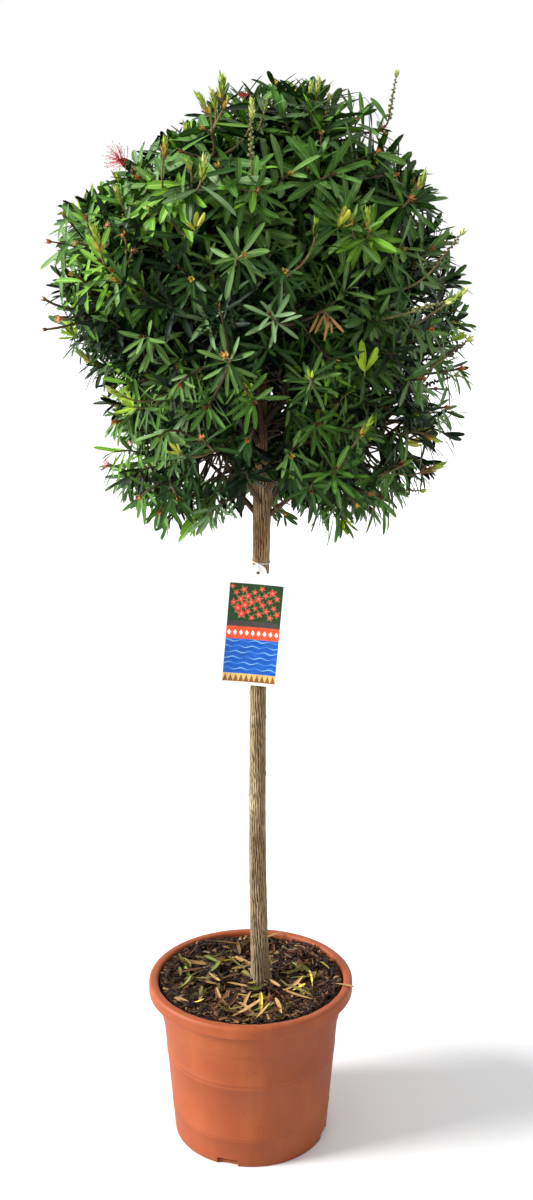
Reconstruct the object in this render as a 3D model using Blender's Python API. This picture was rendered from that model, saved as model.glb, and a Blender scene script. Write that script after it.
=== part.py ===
"""Potted bottlebrush grown as a standard: a clear straight trunk, a round crown and a terracotta pot.

Run it with blender --background --python part.py, or from Blender's text editor.
Units are metres, +Z is up, and the origin is the middle of the pot's flat underside.
"""

import itertools
import math
import random

import bmesh
import bpy
from mathutils import Matrix, Vector

GAP = 0.0003  # clearance between two pieces that touch
UP = Vector((0.0, 0.0, 1.0))
GOLDEN_ANGLE = math.pi * (3.0 - math.sqrt(5.0))

# Pot
POT_HEIGHT = 0.260
POT_RIM_RADIUS = 0.160
POT_RIM_INNER_RADIUS = 0.146
POT_FOOT_RADIUS = 0.1215
POT_WAIST_RADIUS = 0.1375  # where the plain wall ends and the shoulder band begins
POT_WAIST_HEIGHT = 0.193
POT_SHOULDER_RADIUS = 0.1475  # under the lip
POT_LIP_HEIGHT = 0.021
POT_LIP_ROUND = 0.005
POT_BAND_STEP = 0.0015
POT_WALL = 0.0035
POT_FLOOR = 0.005
POT_SIDES = 42
DRAIN_COUNT = 4
DRAIN_FIRST_AZIMUTH = math.radians(-107.0)
DRAIN_WIDTH = 0.034
DRAIN_HEIGHT = 0.011
DRAIN_DEPTH = 0.012
POT_FOOT_ROUND = 0.002

# Compost
SOIL_TOP = 0.242
SOIL_FOOT_SET_BACK = 0.0085  # it stands clear of the drain notches
SOIL_WAIST_SET_BACK = 0.0005

# Trunk and its leader
TRUNK_X = 0.016
TRUNK_Y = 0.010
TRUNK_FLARE_RADIUS = 0.0178
TRUNK_FLARE_HEIGHT = 0.045
TRUNK_FOOT_RADIUS = 0.0138
TRUNK_MID_RADIUS = 0.0120
TRUNK_HEAD_RADIUS = 0.0140
TRUNK_SWAY = 0.006  # how far the trunk bows to the left below its middle
TRUNK_LEAN = 0.009  # how far its head stands to the right of its foot
HEAD_HEIGHT = 1.070
LEADER_FOOT_RADIUS = 0.0082
LEADER_TIP_RADIUS = 0.0040
LEADER_TIP_HEIGHT = 1.365
LEADER_STEP = Vector((-0.003, 0.003, 0.0))  # the leader stands back from the trunk's middle
TRUNK_SIDES = 14
STUB_RADIUS = 0.0068
STUB_LENGTH = 0.034
STUB_FOOT_HEIGHT = 1.052
STUB_AZIMUTH = math.radians(-72.0)
STUB_SLOPE = math.radians(76.0)
STUB_SIDES = 9

# Boughs
BOUGH_SIDES = 6
BOUGH_RINGS = 4
BOUGH_TAPER = 0.66  # its end's radius as a share of its foot's

# Crown: rings of leafy balls round the trunk's line. Where two balls meet, a plane parts them.
# A ring's height, how far out its balls are and their radius set its place.
# Its root is the stretch of trunk that its boughs leave, and thick is their radius there.
CROWN_SEED = 11
BALL_MARGIN = 0.0008  # half the clear way between two masses
BARE_RADIUS_LOW = 0.052  # the leafless middle of the crown, at the trunk's head
BARE_RADIUS_HIGH = 0.012  # and at the leader's tip
HOLLOW_MIDDLE = Vector((0.021, -0.130, 1.100))  # the opening at the front, where the trunk's head shows
HOLLOW_REACH = Vector((0.030, 0.170, 0.085))  # half its width, depth and height
RINGS = (
    {
        "name": "low", "count": 6, "first": -8.0, "height": 1.098, "out": 0.142,
        "radius": 0.138, "middle_x": 0.044, "root": (0.985, 1.045), "thick": 0.0046,
    },
    {
        "name": "middle", "count": 6, "first": 30.0, "height": 1.275, "out": 0.190,
        "radius": 0.162, "middle_x": 0.012, "root": (1.095, 1.140), "thick": 0.0056,
    },
    {
        "name": "high", "count": 5, "first": 36.0, "height": 1.406, "out": 0.144,
        "radius": 0.134, "middle_x": 0.014, "root": (1.190, 1.260), "thick": 0.0046,
    },
    {
        "name": "top", "count": 1, "first": 0.0, "height": 1.478, "out": 0.0,
        "radius": 0.134, "middle_x": 0.058, "root": None, "thick": None,
    },
)

# Twigs and leaves
STEM_SIDES = 3
STEM_LEAD = 0.008  # the stem first goes straight on from its bough
TWIG_SIDES = 3
TWIG_FOOT_RADIUS = 0.0028
TWIG_TIP_RADIUS = 0.0022
TWIGS_PER_MASS = 6
TWIG_REACH = 0.56  # where the twigs end, as a share of the ball's radius
TWIG_TRIES = (1.0, 0.84, 0.68, 0.52)  # a twig that doesn't fit is tried shorter
TWIG_BARE = 0.22  # the share of its length that carries no leaves
LEAVES_PER_TWIG = 7
LEAF_LENGTH = 0.088
LEAF_WIDTH = 0.0190
LEAF_THICKNESS = 0.0024
LEAF_FOOT_WIDTH = 0.0009
LEAF_FOOT_THICKNESS = 0.0006
LEAF_WIDEST = 0.48  # of its length
LEAF_SINK = 0.0012  # how far its foot lies inside the twig
LEAF_APART = 0.009  # between the middle lines of two leaves
LEAF_LEAN_FOOT = math.radians(66.0)
LEAF_LEAN_TIP = math.radians(30.0)
LEAF_SWING = math.radians(15.0)  # how far it may turn off the middle of its twig's face
LEAF_SHARES = (1.0, 0.82, 0.66)  # a leaf that doesn't fit is tried shorter,
LEAF_STEEPS = (1.0, 0.72, 1.2)  # more upright and more open,
LEAF_SHIFTS = (0.0, 0.4, -0.4, 0.8, -0.8)  # and turned round the twig

# New shoots, flowers and seed spikes that stand out of the crown. Each ends at its tip.
SHOOT_KINDS = {
    "buds": {"length": 0.048, "width": 0.0100, "sides": 3},
    "seeds": {"length": 0.062, "width": 0.0085, "sides": 4},
    "flower": {"length": 0.036, "width": 0.0280, "sides": 6},
}
SHOOTS = (
    ("buds", Vector((-0.037, 0.000, 1.602))),
    ("buds", Vector((0.092, 0.010, 1.598))),
    ("seeds", Vector((0.200, 0.005, 1.591))),
    ("flower", Vector((-0.182, -0.030, 1.496))),
    ("flower", Vector((-0.222, 0.010, 1.090))),
    ("buds", Vector((0.248, -0.030, 1.466))),
    ("buds", Vector((0.268, 0.020, 1.085))),
    ("flower", Vector((0.060, 0.230, 1.500))),
    ("buds", Vector((-0.100, 0.160, 1.545))),
)
SHOOT_RISE = 0.9  # how much it turns up from its way out of the crown
SHOOT_SINK = 0.003  # its foot in its twig

# Hang tag
TAG_WIDTH = 0.082
TAG_HEIGHT = 0.172
TAG_THICKNESS = 0.0009
TAG_TOP = Vector((0.0124, -0.0060, 0.9105))  # the middle of its upper edge, where the hole is
TAG_TURN = math.radians(5.0)
TAG_CORNER = 0.005
TAG_CORNER_STEPS = 3
TAG_TAB_RADIUS = 0.0125
TAG_TAB_STEPS = 8
TAG_HOLE_RADIUS = 0.0026
TAG_HOLE_SIDES = 10

# Its string
TIE_RADIUS = 0.0007
TIE_SIDES = 5
TIE_HEIGHT = 0.926
TIE_STEPS = 18
LINK_HALF_WIDTH = 0.0024
LINK_STEPS = 12
KNOT_RADIUS = 0.0022


def clear_scene():
    for obj in list(bpy.data.objects):
        bpy.data.objects.remove(obj)


def finish(name, colour, roughness):
    """A plain surface of one colour."""
    material = bpy.data.materials.new(name)
    material.use_nodes = True
    shader = material.node_tree.nodes["Principled BSDF"]
    shader.inputs["Base Color"].default_value = (*colour, 1.0)
    shader.inputs["Roughness"].default_value = roughness
    shader.inputs["Metallic"].default_value = 0.0
    return material


def object_from(name, shape, material=None, smooth=False):
    """An object holding the bmesh, linked to the scene."""
    bmesh.ops.recalc_face_normals(shape, faces=shape.faces[:])
    mesh = bpy.data.meshes.new(name)
    shape.to_mesh(mesh)
    shape.free()
    if material:
        mesh.materials.append(material)
    if smooth:
        mesh.shade_smooth()
        mesh.set_sharp_from_angle(angle=math.radians(35.0))
    obj = bpy.data.objects.new(name, mesh)
    bpy.context.scene.collection.objects.link(obj)
    return obj


def as_helper(obj):
    obj.hide_render = True
    obj.display_type = "WIRE"
    return obj


def boolean(obj, operation, other, solver="EXACT"):
    """Adds a Boolean with an object or with a whole collection."""
    modifier = obj.modifiers.new(operation.lower(), "BOOLEAN")
    modifier.operation = operation
    modifier.solver = solver
    if isinstance(other, bpy.types.Collection):
        modifier.operand_type = "COLLECTION"
        modifier.collection = other
    else:
        modifier.object = other
    return modifier


def apply_modifiers(obj):
    bpy.context.view_layer.update()
    graph = bpy.context.evaluated_depsgraph_get()
    mesh = bpy.data.meshes.new_from_object(obj.evaluated_get(graph))
    obj.modifiers.clear()
    obj.data = mesh


def turned(name, profile, sides, material):
    """A closed body of revolution. The profile runs from the axis round to the axis, as (radius, height)."""
    shape = bmesh.new()
    verts = [shape.verts.new((radius, 0.0, height)) for radius, height in profile]
    edges = [shape.edges.new(pair) for pair in zip(verts, verts[1:])]
    bmesh.ops.spin(
        shape, geom=verts + edges, cent=(0, 0, 0), axis=UP, angle=math.tau, steps=sides, use_merge=True
    )
    bmesh.ops.remove_doubles(shape, verts=shape.verts[:], dist=1e-6)
    return object_from(name, shape, material, smooth=True)


def frames_along(points):
    """(point, side, other side) at each point. The sides are carried along, so the tube doesn't twist."""
    frames = []
    side = None
    for i, point in enumerate(points):
        ahead = points[min(i + 1, len(points) - 1)] - points[max(i - 1, 0)]
        ahead.normalize()
        if side is None:
            guess = Vector((1.0, 0.0, 0.0)) if abs(ahead.x) < 0.8 else UP
        else:
            guess = side
        side = (guess - ahead * guess.dot(ahead)).normalized()
        frames.append((point, side, ahead.cross(side)))
    return frames


def loop_shape(points, normal, radius, sides):
    """A closed ring of round section along a flat loop of points."""
    shape = bmesh.new()
    rings = []
    for i, point in enumerate(points):
        ahead = (points[(i + 1) % len(points)] - points[i - 1]).normalized()
        out = ahead.cross(normal)
        turns = [math.tau * k / sides for k in range(sides)]
        ways = [out * math.cos(t) + normal * math.sin(t) for t in turns]
        rings.append([shape.verts.new(point + way * radius) for way in ways])
    for i, low in enumerate(rings):
        high = rings[(i + 1) % len(rings)]
        for k in range(sides):
            n = (k + 1) % sides
            shape.faces.new((low[k], low[n], high[n], high[k]))
    return shape


def limb_shape(points, radii, sides, level=False):
    """A closed tapering tube along the points, as a bmesh. Level rings give it flat cuts at its ends."""
    shape = bmesh.new()
    rings = []
    frames = [(point, Vector((1.0, 0.0, 0.0)), Vector((0.0, 1.0, 0.0))) for point in points]
    for (point, side, other), radius in zip(frames if level else frames_along(points), radii):
        ring = []
        for k in range(sides):
            turn = math.tau * k / sides
            ring.append(shape.verts.new(point + (side * math.cos(turn) + other * math.sin(turn)) * radius))
        rings.append(ring)
    for low, high in zip(rings, rings[1:]):
        for k in range(sides):
            n = (k + 1) % sides
            shape.faces.new((low[k], low[n], high[n], high[k]))
    shape.faces.new(reversed(rings[0]))
    shape.faces.new(rings[-1])
    return shape


def mix(a, b, share):
    return a + (b - a) * share


def bow(start, bend, end, count):
    """Points on the curve from start to end that is drawn towards bend."""
    points = []
    for i in range(count):
        t = i / (count - 1)
        points.append(mix(mix(start, bend, t), mix(bend, end, t), t))
    return points


def trunk_point(height):
    """The middle of the trunk, or of its leader, at a height."""
    share = (height - SOIL_TOP) / (HEAD_HEIGHT - SOIL_TOP)
    x = TRUNK_X + TRUNK_LEAN * share**2 * 0.5 - TRUNK_SWAY * math.sin(math.pi * min(share, 1.0) ** 0.8)
    point = Vector((x, TRUNK_Y, height))
    over = min(max((height - HEAD_HEIGHT) / 0.02, 0.0), 1.0)
    return point + LEADER_STEP * over


def trunk_radius(height):
    share = (height - SOIL_TOP) / (HEAD_HEIGHT - SOIL_TOP)
    if share > 1.0:
        above = (height - HEAD_HEIGHT) / (LEADER_TIP_HEIGHT - HEAD_HEIGHT)
        return mix(LEADER_FOOT_RADIUS, LEADER_TIP_RADIUS, above)
    radius = mix(TRUNK_FOOT_RADIUS, TRUNK_MID_RADIUS, min(share * 2.0, 1.0))
    radius += (TRUNK_HEAD_RADIUS - TRUNK_MID_RADIUS) * max(share * 4.0 - 3.0, 0.0) ** 2
    flare = max(1.0 - (height - SOIL_TOP) / TRUNK_FLARE_HEIGHT, 0.0)
    return radius + (TRUNK_FLARE_RADIUS - TRUNK_FOOT_RADIUS) * flare**2


def trunk_shape(grown=0.0):
    """The trunk with its leader, from the compost to the leader's tip."""
    foot = SOIL_TOP + GAP
    heights = [foot, foot + TRUNK_FLARE_HEIGHT * 0.45, foot + TRUNK_FLARE_HEIGHT]
    steps = 8
    heights += [mix(heights[-1], HEAD_HEIGHT, i / steps) for i in range(1, steps + 1)]
    above = 5
    heights += [mix(HEAD_HEIGHT + 0.012, LEADER_TIP_HEIGHT, i / above) for i in range(above + 1)]
    points = [trunk_point(h) for h in heights]
    radii = [trunk_radius(h) + grown for h in heights]
    return limb_shape(points, radii, TRUNK_SIDES, level=True)


def stub_shape(grown=0.0):
    """The sawn-off end beside the leader, where the young stem was topped."""
    out = Vector((math.cos(STUB_AZIMUTH), math.sin(STUB_AZIMUTH), 0.0))
    slope = out * math.cos(STUB_SLOPE) + UP * math.sin(STUB_SLOPE)
    foot = trunk_point(STUB_FOOT_HEIGHT) + out * (STUB_RADIUS * 0.7)
    return limb_shape([foot, foot + slope * STUB_LENGTH], [STUB_RADIUS + grown] * 2, STUB_SIDES)


def make_trunk(bark):
    trunk = object_from("trunk", trunk_shape(), bark, smooth=True)
    stub = object_from("stub", stub_shape())
    boolean(trunk, "UNION", stub)
    apply_modifiers(trunk)
    bpy.data.objects.remove(stub)
    return trunk


def make_pot(plastic):
    outer = [
        (0.0, 0.0),
        (POT_FOOT_RADIUS - POT_FOOT_ROUND, 0.0),
        (POT_FOOT_RADIUS, POT_FOOT_ROUND),
        (POT_WAIST_RADIUS, POT_WAIST_HEIGHT),
        (POT_WAIST_RADIUS + POT_BAND_STEP, POT_WAIST_HEIGHT + POT_BAND_STEP),
        (POT_SHOULDER_RADIUS, POT_HEIGHT - POT_LIP_HEIGHT),
    ]
    lip = [
        (POT_RIM_RADIUS - POT_LIP_ROUND / 2, POT_HEIGHT - POT_LIP_HEIGHT),
        (POT_RIM_RADIUS, POT_HEIGHT - POT_LIP_HEIGHT + POT_LIP_ROUND / 2),
        (POT_RIM_RADIUS, POT_HEIGHT - POT_LIP_ROUND),
        (POT_RIM_RADIUS - POT_LIP_ROUND / 2, POT_HEIGHT - POT_LIP_ROUND / 4),
        (POT_RIM_RADIUS - POT_LIP_ROUND, POT_HEIGHT),
        (POT_RIM_INNER_RADIUS + POT_LIP_ROUND / 2, POT_HEIGHT),
        (POT_RIM_INNER_RADIUS, POT_HEIGHT - POT_LIP_ROUND / 2),
    ]
    inner = [
        (POT_SHOULDER_RADIUS - POT_WALL, POT_HEIGHT - POT_LIP_HEIGHT),
        (POT_WAIST_RADIUS - POT_WALL, POT_WAIST_HEIGHT),
        (POT_FOOT_RADIUS - POT_WALL, POT_FLOOR),
        (0.0, POT_FLOOR),
    ]
    pot = turned("pot", outer + lip + inner, POT_SIDES, plastic)
    cutter = bmesh.new()
    for i in range(DRAIN_COUNT):
        turn = DRAIN_FIRST_AZIMUTH + math.tau * i / DRAIN_COUNT
        block = bmesh.ops.create_cube(cutter, size=1.0)["verts"]
        place = Matrix.Rotation(turn, 4, "Z") @ Matrix.Translation((POT_FOOT_RADIUS, 0.0, 0.0))
        bmesh.ops.scale(cutter, vec=(DRAIN_DEPTH, DRAIN_WIDTH, DRAIN_HEIGHT * 2), verts=block)
        bmesh.ops.transform(cutter, matrix=place, verts=block)
    boolean(pot, "DIFFERENCE", as_helper(object_from("drain_cutter", cutter)))
    return pot


def make_soil(compost):
    """The compost fills the pot to just under its lip, a hair clear of the wall and set back at the foot."""
    wall = POT_WALL + GAP
    foot = POT_FOOT_RADIUS - wall - SOIL_FOOT_SET_BACK
    profile = [
        (0.0, POT_FLOOR + GAP),
        (foot, POT_FLOOR + GAP),
        (foot, POT_FLOOR + DRAIN_HEIGHT),
        (POT_WAIST_RADIUS - wall - SOIL_WAIST_SET_BACK, POT_WAIST_HEIGHT),
        (POT_SHOULDER_RADIUS - wall, POT_HEIGHT - POT_LIP_HEIGHT),
        (POT_SHOULDER_RADIUS - wall, SOIL_TOP),
        (0.0, SOIL_TOP),
    ]
    return turned("soil", profile, POT_SIDES, compost)


def arc(x, z, radius, start, end, steps):
    """Points on a stretch of a circle, angles in degrees."""
    angles = [math.radians(start + (end - start) * i / steps) for i in range(steps + 1)]
    return [(x + radius * math.cos(a), z + radius * math.sin(a)) for a in angles]


def make_tag(card):
    """A card with round corners that hangs by the hole in the half-round tab on its upper edge."""
    half = TAG_WIDTH / 2 - TAG_CORNER
    low = TAG_CORNER - TAG_HEIGHT
    outline = arc(-half, low, TAG_CORNER, 180, 270, TAG_CORNER_STEPS)
    outline += arc(half, low, TAG_CORNER, 270, 360, TAG_CORNER_STEPS)
    outline += arc(half, -TAG_CORNER, TAG_CORNER, 0, 90, TAG_CORNER_STEPS)
    outline += arc(0.0, 0.0, TAG_TAB_RADIUS, 0, 180, TAG_TAB_STEPS)
    outline += arc(-half, -TAG_CORNER, TAG_CORNER, 90, 180, TAG_CORNER_STEPS)
    shape = bmesh.new()
    front = shape.faces.new([shape.verts.new((x, -TAG_THICKNESS / 2, z)) for x, z in outline])
    moved = bmesh.ops.extrude_face_region(shape, geom=[front])["geom"]
    back = [v for v in moved if isinstance(v, bmesh.types.BMVert)]
    bmesh.ops.translate(shape, vec=(0.0, TAG_THICKNESS, 0.0), verts=back)
    tag = object_from("tag", shape, card)
    cutter = bmesh.new()
    bmesh.ops.create_cone(
        cutter, cap_ends=True, segments=TAG_HOLE_SIDES, radius1=TAG_HOLE_RADIUS, radius2=TAG_HOLE_RADIUS,
        depth=TAG_THICKNESS * 4, matrix=Matrix.Rotation(math.radians(90.0), 4, "X"),
    )
    hole = as_helper(object_from("tag_hole_cutter", cutter))
    boolean(tag, "DIFFERENCE", hole)
    hole.parent = tag
    tag.rotation_euler = (0.0, TAG_TURN, 0.0)
    tag.location = TAG_TOP
    return tag


def make_tie(string):
    """The string: a ring round the trunk, a knot at its front and a link through the tag's hole."""
    middle = trunk_point(TIE_HEIGHT)
    ring_radius = trunk_radius(TIE_HEIGHT) + GAP * 2 + TIE_RADIUS
    turns = [math.tau * i / TIE_STEPS for i in range(TIE_STEPS)]
    ring = [middle + Vector((math.cos(t), math.sin(t), 0.0)) * ring_radius for t in turns]
    tie = object_from("tie", loop_shape(ring, UP, TIE_RADIUS, TIE_SIDES), string)
    low = TAG_TOP.z + TAG_HOLE_RADIUS * math.cos(math.pi / TAG_HOLE_SIDES) - TIE_RADIUS - GAP
    centre = Vector((TAG_TOP.x, TAG_TOP.y, (low + TIE_HEIGHT) / 2))
    turns = [math.tau * i / LINK_STEPS for i in range(LINK_STEPS)]
    half_height = (TIE_HEIGHT - low) / 2
    link = [centre + Vector((0.0, LINK_HALF_WIDTH * math.cos(t), half_height * math.sin(t))) for t in turns]
    knot = bmesh.new()
    place = Matrix.Translation((TAG_TOP.x, TAG_TOP.y + LINK_HALF_WIDTH * 0.6, TIE_HEIGHT))
    bmesh.ops.create_icosphere(knot, subdivisions=1, radius=KNOT_RADIUS, matrix=place)
    others = [
        object_from("link", loop_shape(link, Vector((1.0, 0.0, 0.0)), TIE_RADIUS, TIE_SIDES)),
        object_from("knot", knot),
    ]
    for other in others:
        boolean(tie, "UNION", other)
    apply_modifiers(tie)
    for other in others:
        bpy.data.objects.remove(other)
    return tie


class Mass:
    """One leafy ball of the crown, with the way its bough comes in."""

    def __init__(self, name, ring, centre, radius, root):
        self.name = name
        self.ring = ring
        self.centre = centre
        self.radius = radius
        self.root = root


def lay_out_crown():
    """The balls of every ring, each a little off its even place."""
    draw = random.Random(CROWN_SEED)
    masses = []
    for ring in RINGS:
        for i in range(ring["count"]):
            azimuth = math.radians(ring["first"] + 360.0 * i / ring["count"] + draw.uniform(-6.0, 6.0))
            out = ring["out"] * draw.uniform(0.96, 1.04)
            centre = Vector((
                ring["middle_x"] + out * math.cos(azimuth),
                TRUNK_Y + out * math.sin(azimuth),
                ring["height"] + draw.uniform(-0.010, 0.010),
            ))
            radius = ring["radius"] * draw.uniform(0.96, 1.05)
            root = None
            if ring["root"]:
                low, high = ring["root"]
                root = trunk_point(mix(low, high, ((i * 2) % ring["count"]) / ring["count"]))
            name = ring["name"] if ring["count"] == 1 else f"{ring['name']}_{i + 1}"
            masses.append(Mass(name, ring, centre, radius, root))
    return masses


def beyond(mass, other, point):
    """How far the point lies past the plane that parts the two balls, from the mass's side."""
    apart = other.centre - mass.centre
    share = (apart.length_squared + mass.radius**2 - other.radius**2) / (2 * apart.length_squared)
    return (point - mass.centre).dot(apart) / apart.length - share * apart.length


def in_cell(mass, masses, point, margin=BALL_MARGIN):
    return all(other is mass or beyond(mass, other, point) <= -margin for other in masses)


def bare_radius(height):
    share = (height - HEAD_HEIGHT) / (LEADER_TIP_HEIGHT - HEAD_HEIGHT)
    if share > 1.0:
        return 0.0
    return mix(BARE_RADIUS_LOW, BARE_RADIUS_HIGH, max(share, 0.0))


def in_bare_middle(point):
    away = point - trunk_point(point.z)
    return math.hypot(away.x, away.y) < bare_radius(point.z)


def in_hollow(point):
    away = point - HOLLOW_MIDDLE
    return sum((a / reach) ** 2 for a, reach in zip(away, HOLLOW_REACH)) < 1.0


def in_space(mass, masses, point, margin=BALL_MARGIN):
    """True where the mass may hold wood or leaf."""
    if (point - mass.centre).length > mass.radius or in_hollow(point):
        return False
    return in_cell(mass, masses, point, margin) and not in_bare_middle(point)


def within(share):
    return min(max(share, 0.0), 1.0)


def gap_between(a, b, c, d):
    """The least distance between the stretches a to b and c to d."""
    first, second, apart = b - a, d - c, a - c
    n1, n2, cross = first.length_squared, second.length_squared, first.dot(second)
    even = n1 * n2 - cross * cross
    s = within((cross * second.dot(apart) - n2 * first.dot(apart)) / even) if even > 1e-12 else 0.0
    t = within((cross * s + second.dot(apart)) / n2)
    s = within((cross * t - first.dot(apart)) / n1)
    return (apart + first * s - second * t).length


class Limbs:
    """Every trunk and bough segment with its radius, so that leaves and twigs can keep clear."""

    def __init__(self):
        self.pieces = []

    def add(self, owner, points, radii):
        for i in range(len(points) - 1):
            self.pieces.append((owner, points[i], points[i + 1], max(radii[i], radii[i + 1])))

    def clear(self, a, b, margin):
        """True where a stretch of that half width touches no limb."""
        return all(gap_between(a, b, c, d) > radius + margin + GAP for _, c, d, radius in self.pieces)


def bough_way(mass, masses):
    """The whole run from the trunk to the middle of the mass, and where it enters the mass."""
    if mass.root is None:
        start = trunk_point(LEADER_TIP_HEIGHT)
        return [start, mix(start, mass.centre, 0.5), mass.centre], 0
    out = mass.centre - mass.root
    flat = Vector((out.x, out.y, 0.0))
    bend = mass.root + flat * 0.42 + UP * (out.z * 0.62 - 0.012)
    run = bow(mass.root, bend, mass.centre, 25)
    enter = next(i for i, point in enumerate(run) if in_space(mass, masses, point, 0.004))
    return run, enter


def thinned(points, count):
    """count of the points, evenly picked, with both ends."""
    last = len(points) - 1
    return [points[round(last * i / (count - 1))] for i in range(count)]


def make_bough(mass, masses, bark, cutters, limbs):
    """Makes the bough up to its mass. It returns the stem's run, its radius and the bough's last way."""
    run, enter = bough_way(mass, masses)
    if mass.root is None:
        return run, LEADER_TIP_RADIUS, UP
    points = thinned(run[: enter + 1], BOUGH_RINGS)
    foot = mass.ring["thick"]
    radii = [mix(foot, foot * BOUGH_TAPER, i / (BOUGH_RINGS - 1)) for i in range(BOUGH_RINGS)]
    bough = object_from(f"bough_{mass.name}", limb_shape(points, radii, BOUGH_SIDES), bark, smooth=True)
    for cutter in cutters:
        boolean(bough, "DIFFERENCE", cutter)
    apply_modifiers(bough)
    limbs.add(mass.name, points, radii)
    return run[enter:], radii[-1], (points[-1] - points[-2]).normalized()


def spread(count, turn):
    """Directions spread evenly over a sphere, by the golden angle."""
    found = []
    for i in range(count):
        height = 1.0 - (i + 0.5) * 2.0 / count
        across = math.sqrt(1.0 - height * height)
        angle = turn + GOLDEN_ANGLE * i
        found.append(Vector((across * math.cos(angle), across * math.sin(angle), height)))
    return found


def leaf_mesh():
    """A narrow keeled blade along +X, one long, with its flat side up and its middle widest."""
    shape = bmesh.new()

    def ring(along, width, thickness):
        half = width / LEAF_LENGTH / 2
        corners = ((along, half, 0.0), (along, -half, 0.0), (along, 0.0, -thickness / LEAF_LENGTH))
        return [shape.verts.new(corner) for corner in corners]

    foot = ring(0.0, LEAF_FOOT_WIDTH, LEAF_FOOT_THICKNESS)
    waist = ring(LEAF_WIDEST, LEAF_WIDTH, LEAF_THICKNESS)
    tip = shape.verts.new((1.0, 0.0, 0.0))
    shape.faces.new(foot)
    for i in range(3):
        n = (i + 1) % 3
        shape.faces.new((foot[i], foot[n], waist[n], waist[i]))
        shape.faces.new((waist[i], waist[n], tip))
    bmesh.ops.recalc_face_normals(shape, faces=shape.faces[:])
    mesh = bpy.data.meshes.new("leaf")
    shape.to_mesh(mesh)
    shape.free()
    return mesh


def blade_corners(root, along, side, length):
    """The outline of a leaf, for the test against its mass's space."""
    half = LEAF_WIDTH / 2 * length / LEAF_LENGTH
    widest = root + along * length * LEAF_WIDEST
    return [root + along * length, widest + side * half, widest - side * half]


class Grower:
    """Grows one mass: twigs that branch from its stem by a seeded rule, with leaves on their outer part."""

    def __init__(self, mass, masses, limbs, seed):
        self.mass = mass
        self.masses = masses
        self.limbs = limbs
        self.draw = random.Random(seed)
        self.twigs = []
        self.shoots = []
        self.leaves = []
        self.spines = []

    def fits(self, corners, a, b, half_width):
        """True where the corners lie in the mass's space and the stretch a to b touches no limb."""
        if not all(in_space(self.mass, self.masses, p, BALL_MARGIN + TWIG_TIP_RADIUS) for p in corners):
            return False
        return self.limbs.clear(a, b, half_width)

    def apart(self, twig, a, b):
        """True where a leaf's line keeps clear of the leaves so far and of the other twigs."""
        if any(gap_between(a, b, c, d) < LEAF_APART for c, d in self.spines):
            return False
        return all(other is twig or gap_between(a, b, *other) > LEAF_APART for other in self.twigs)

    def grow(self, stem):
        """Each twig ends at its own place in the ball, and roots in the wood that is nearest to it."""
        mass = self.mass
        nodes = list(stem[1:])
        for way in spread(TWIGS_PER_MASS, self.draw.uniform(0.0, math.tau)):
            for share in TWIG_TRIES:
                tip = mass.centre + way * mass.radius * TWIG_REACH * share
                root = min(nodes, key=lambda node: (node - tip).length)
                if self.fits([tip], root, tip, TWIG_FOOT_RADIUS):
                    self.twigs.append((root, tip))
                    nodes.append(mix(root, tip, 0.5))
                    break
        tips = [mix(root, tip, 0.94) for root, tip in self.twigs]
        for kind, end in SHOOTS:
            if in_cell(mass, self.masses, end):
                self.add_shoot(SHOOT_KINDS[kind], end, tips)
        for twig in self.twigs[:TWIGS_PER_MASS]:
            self.dress(twig)

    def add_shoot(self, kind, end, tips):
        """A bare twig from the nearest twig's tip, and the shoot on it, which turns up as it goes out."""
        out = (end - self.mass.centre).normalized()
        rise = (out + UP * SHOOT_RISE).normalized()
        foot = end - rise * kind["length"]
        root = min(tips, key=lambda tip: (tip - foot).length)
        self.twigs.append((root, foot + rise * SHOOT_SINK))
        self.shoots.append((kind, foot, end))
        self.spines.append((foot, end))

    def dress(self, twig):
        """Leaves on the faces of a twig in turn, from its tip down, and ever more open."""
        root, tip = twig
        _, side, other = frames_along(twig)[0]
        ahead = (tip - root).normalized()
        for i in range(LEAVES_PER_TWIG):
            share = i / (LEAVES_PER_TWIG - 1)
            up = mix(0.96, TWIG_BARE, share)
            lean = mix(LEAF_LEAN_TIP, LEAF_LEAN_FOOT, share)
            turn = math.tau * (i + 0.5) / TWIG_SIDES
            out = side * math.cos(turn) + other * math.sin(turn)
            inner_radius = mix(TWIG_FOOT_RADIUS, TWIG_TIP_RADIUS, up) * math.cos(math.pi / TWIG_SIDES)
            place = mix(root, tip, up) + out * inner_radius
            self.add_leaf(twig, place, ahead, out, lean)

    def add_leaf(self, twig, place, ahead, out, lean):
        """Tries the leaf at its full length and lean, then turned, more upright or open, and shorter."""
        across = ahead.cross(out)
        swing = self.draw.uniform(-0.5, 0.5)
        size = self.draw.uniform(0.9, 1.08)
        for share, steep, shift in itertools.product(LEAF_SHARES, LEAF_STEEPS, LEAF_SHIFTS):
            turn = LEAF_SWING * (swing + shift)
            away = out * math.cos(turn) + across * math.sin(turn)
            along = (ahead * math.cos(lean * steep) + away * math.sin(lean * steep)).normalized()
            side = along.cross(ahead).normalized()
            root = place - along * LEAF_SINK
            length = LEAF_LENGTH * size * share
            tip = root + along * length
            spine = (mix(root, tip, 0.3), tip)
            corners = blade_corners(root, along, side, length)
            if self.apart(twig, *spine) and self.fits(corners, root, tip, LEAF_WIDTH / 2):
                self.spines.append(spine)
                self.leaves.append((root, along, side, length))
                return


def shoot_shape(kind, foot, end):
    """A spindle that is widest below its middle."""
    points = [foot, mix(foot, end, 0.35), mix(foot, end, 0.75), end]
    half = kind["width"] / 2
    return limb_shape(points, [half * 0.35, half, half * 0.8, half * 0.15], kind["sides"])


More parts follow.
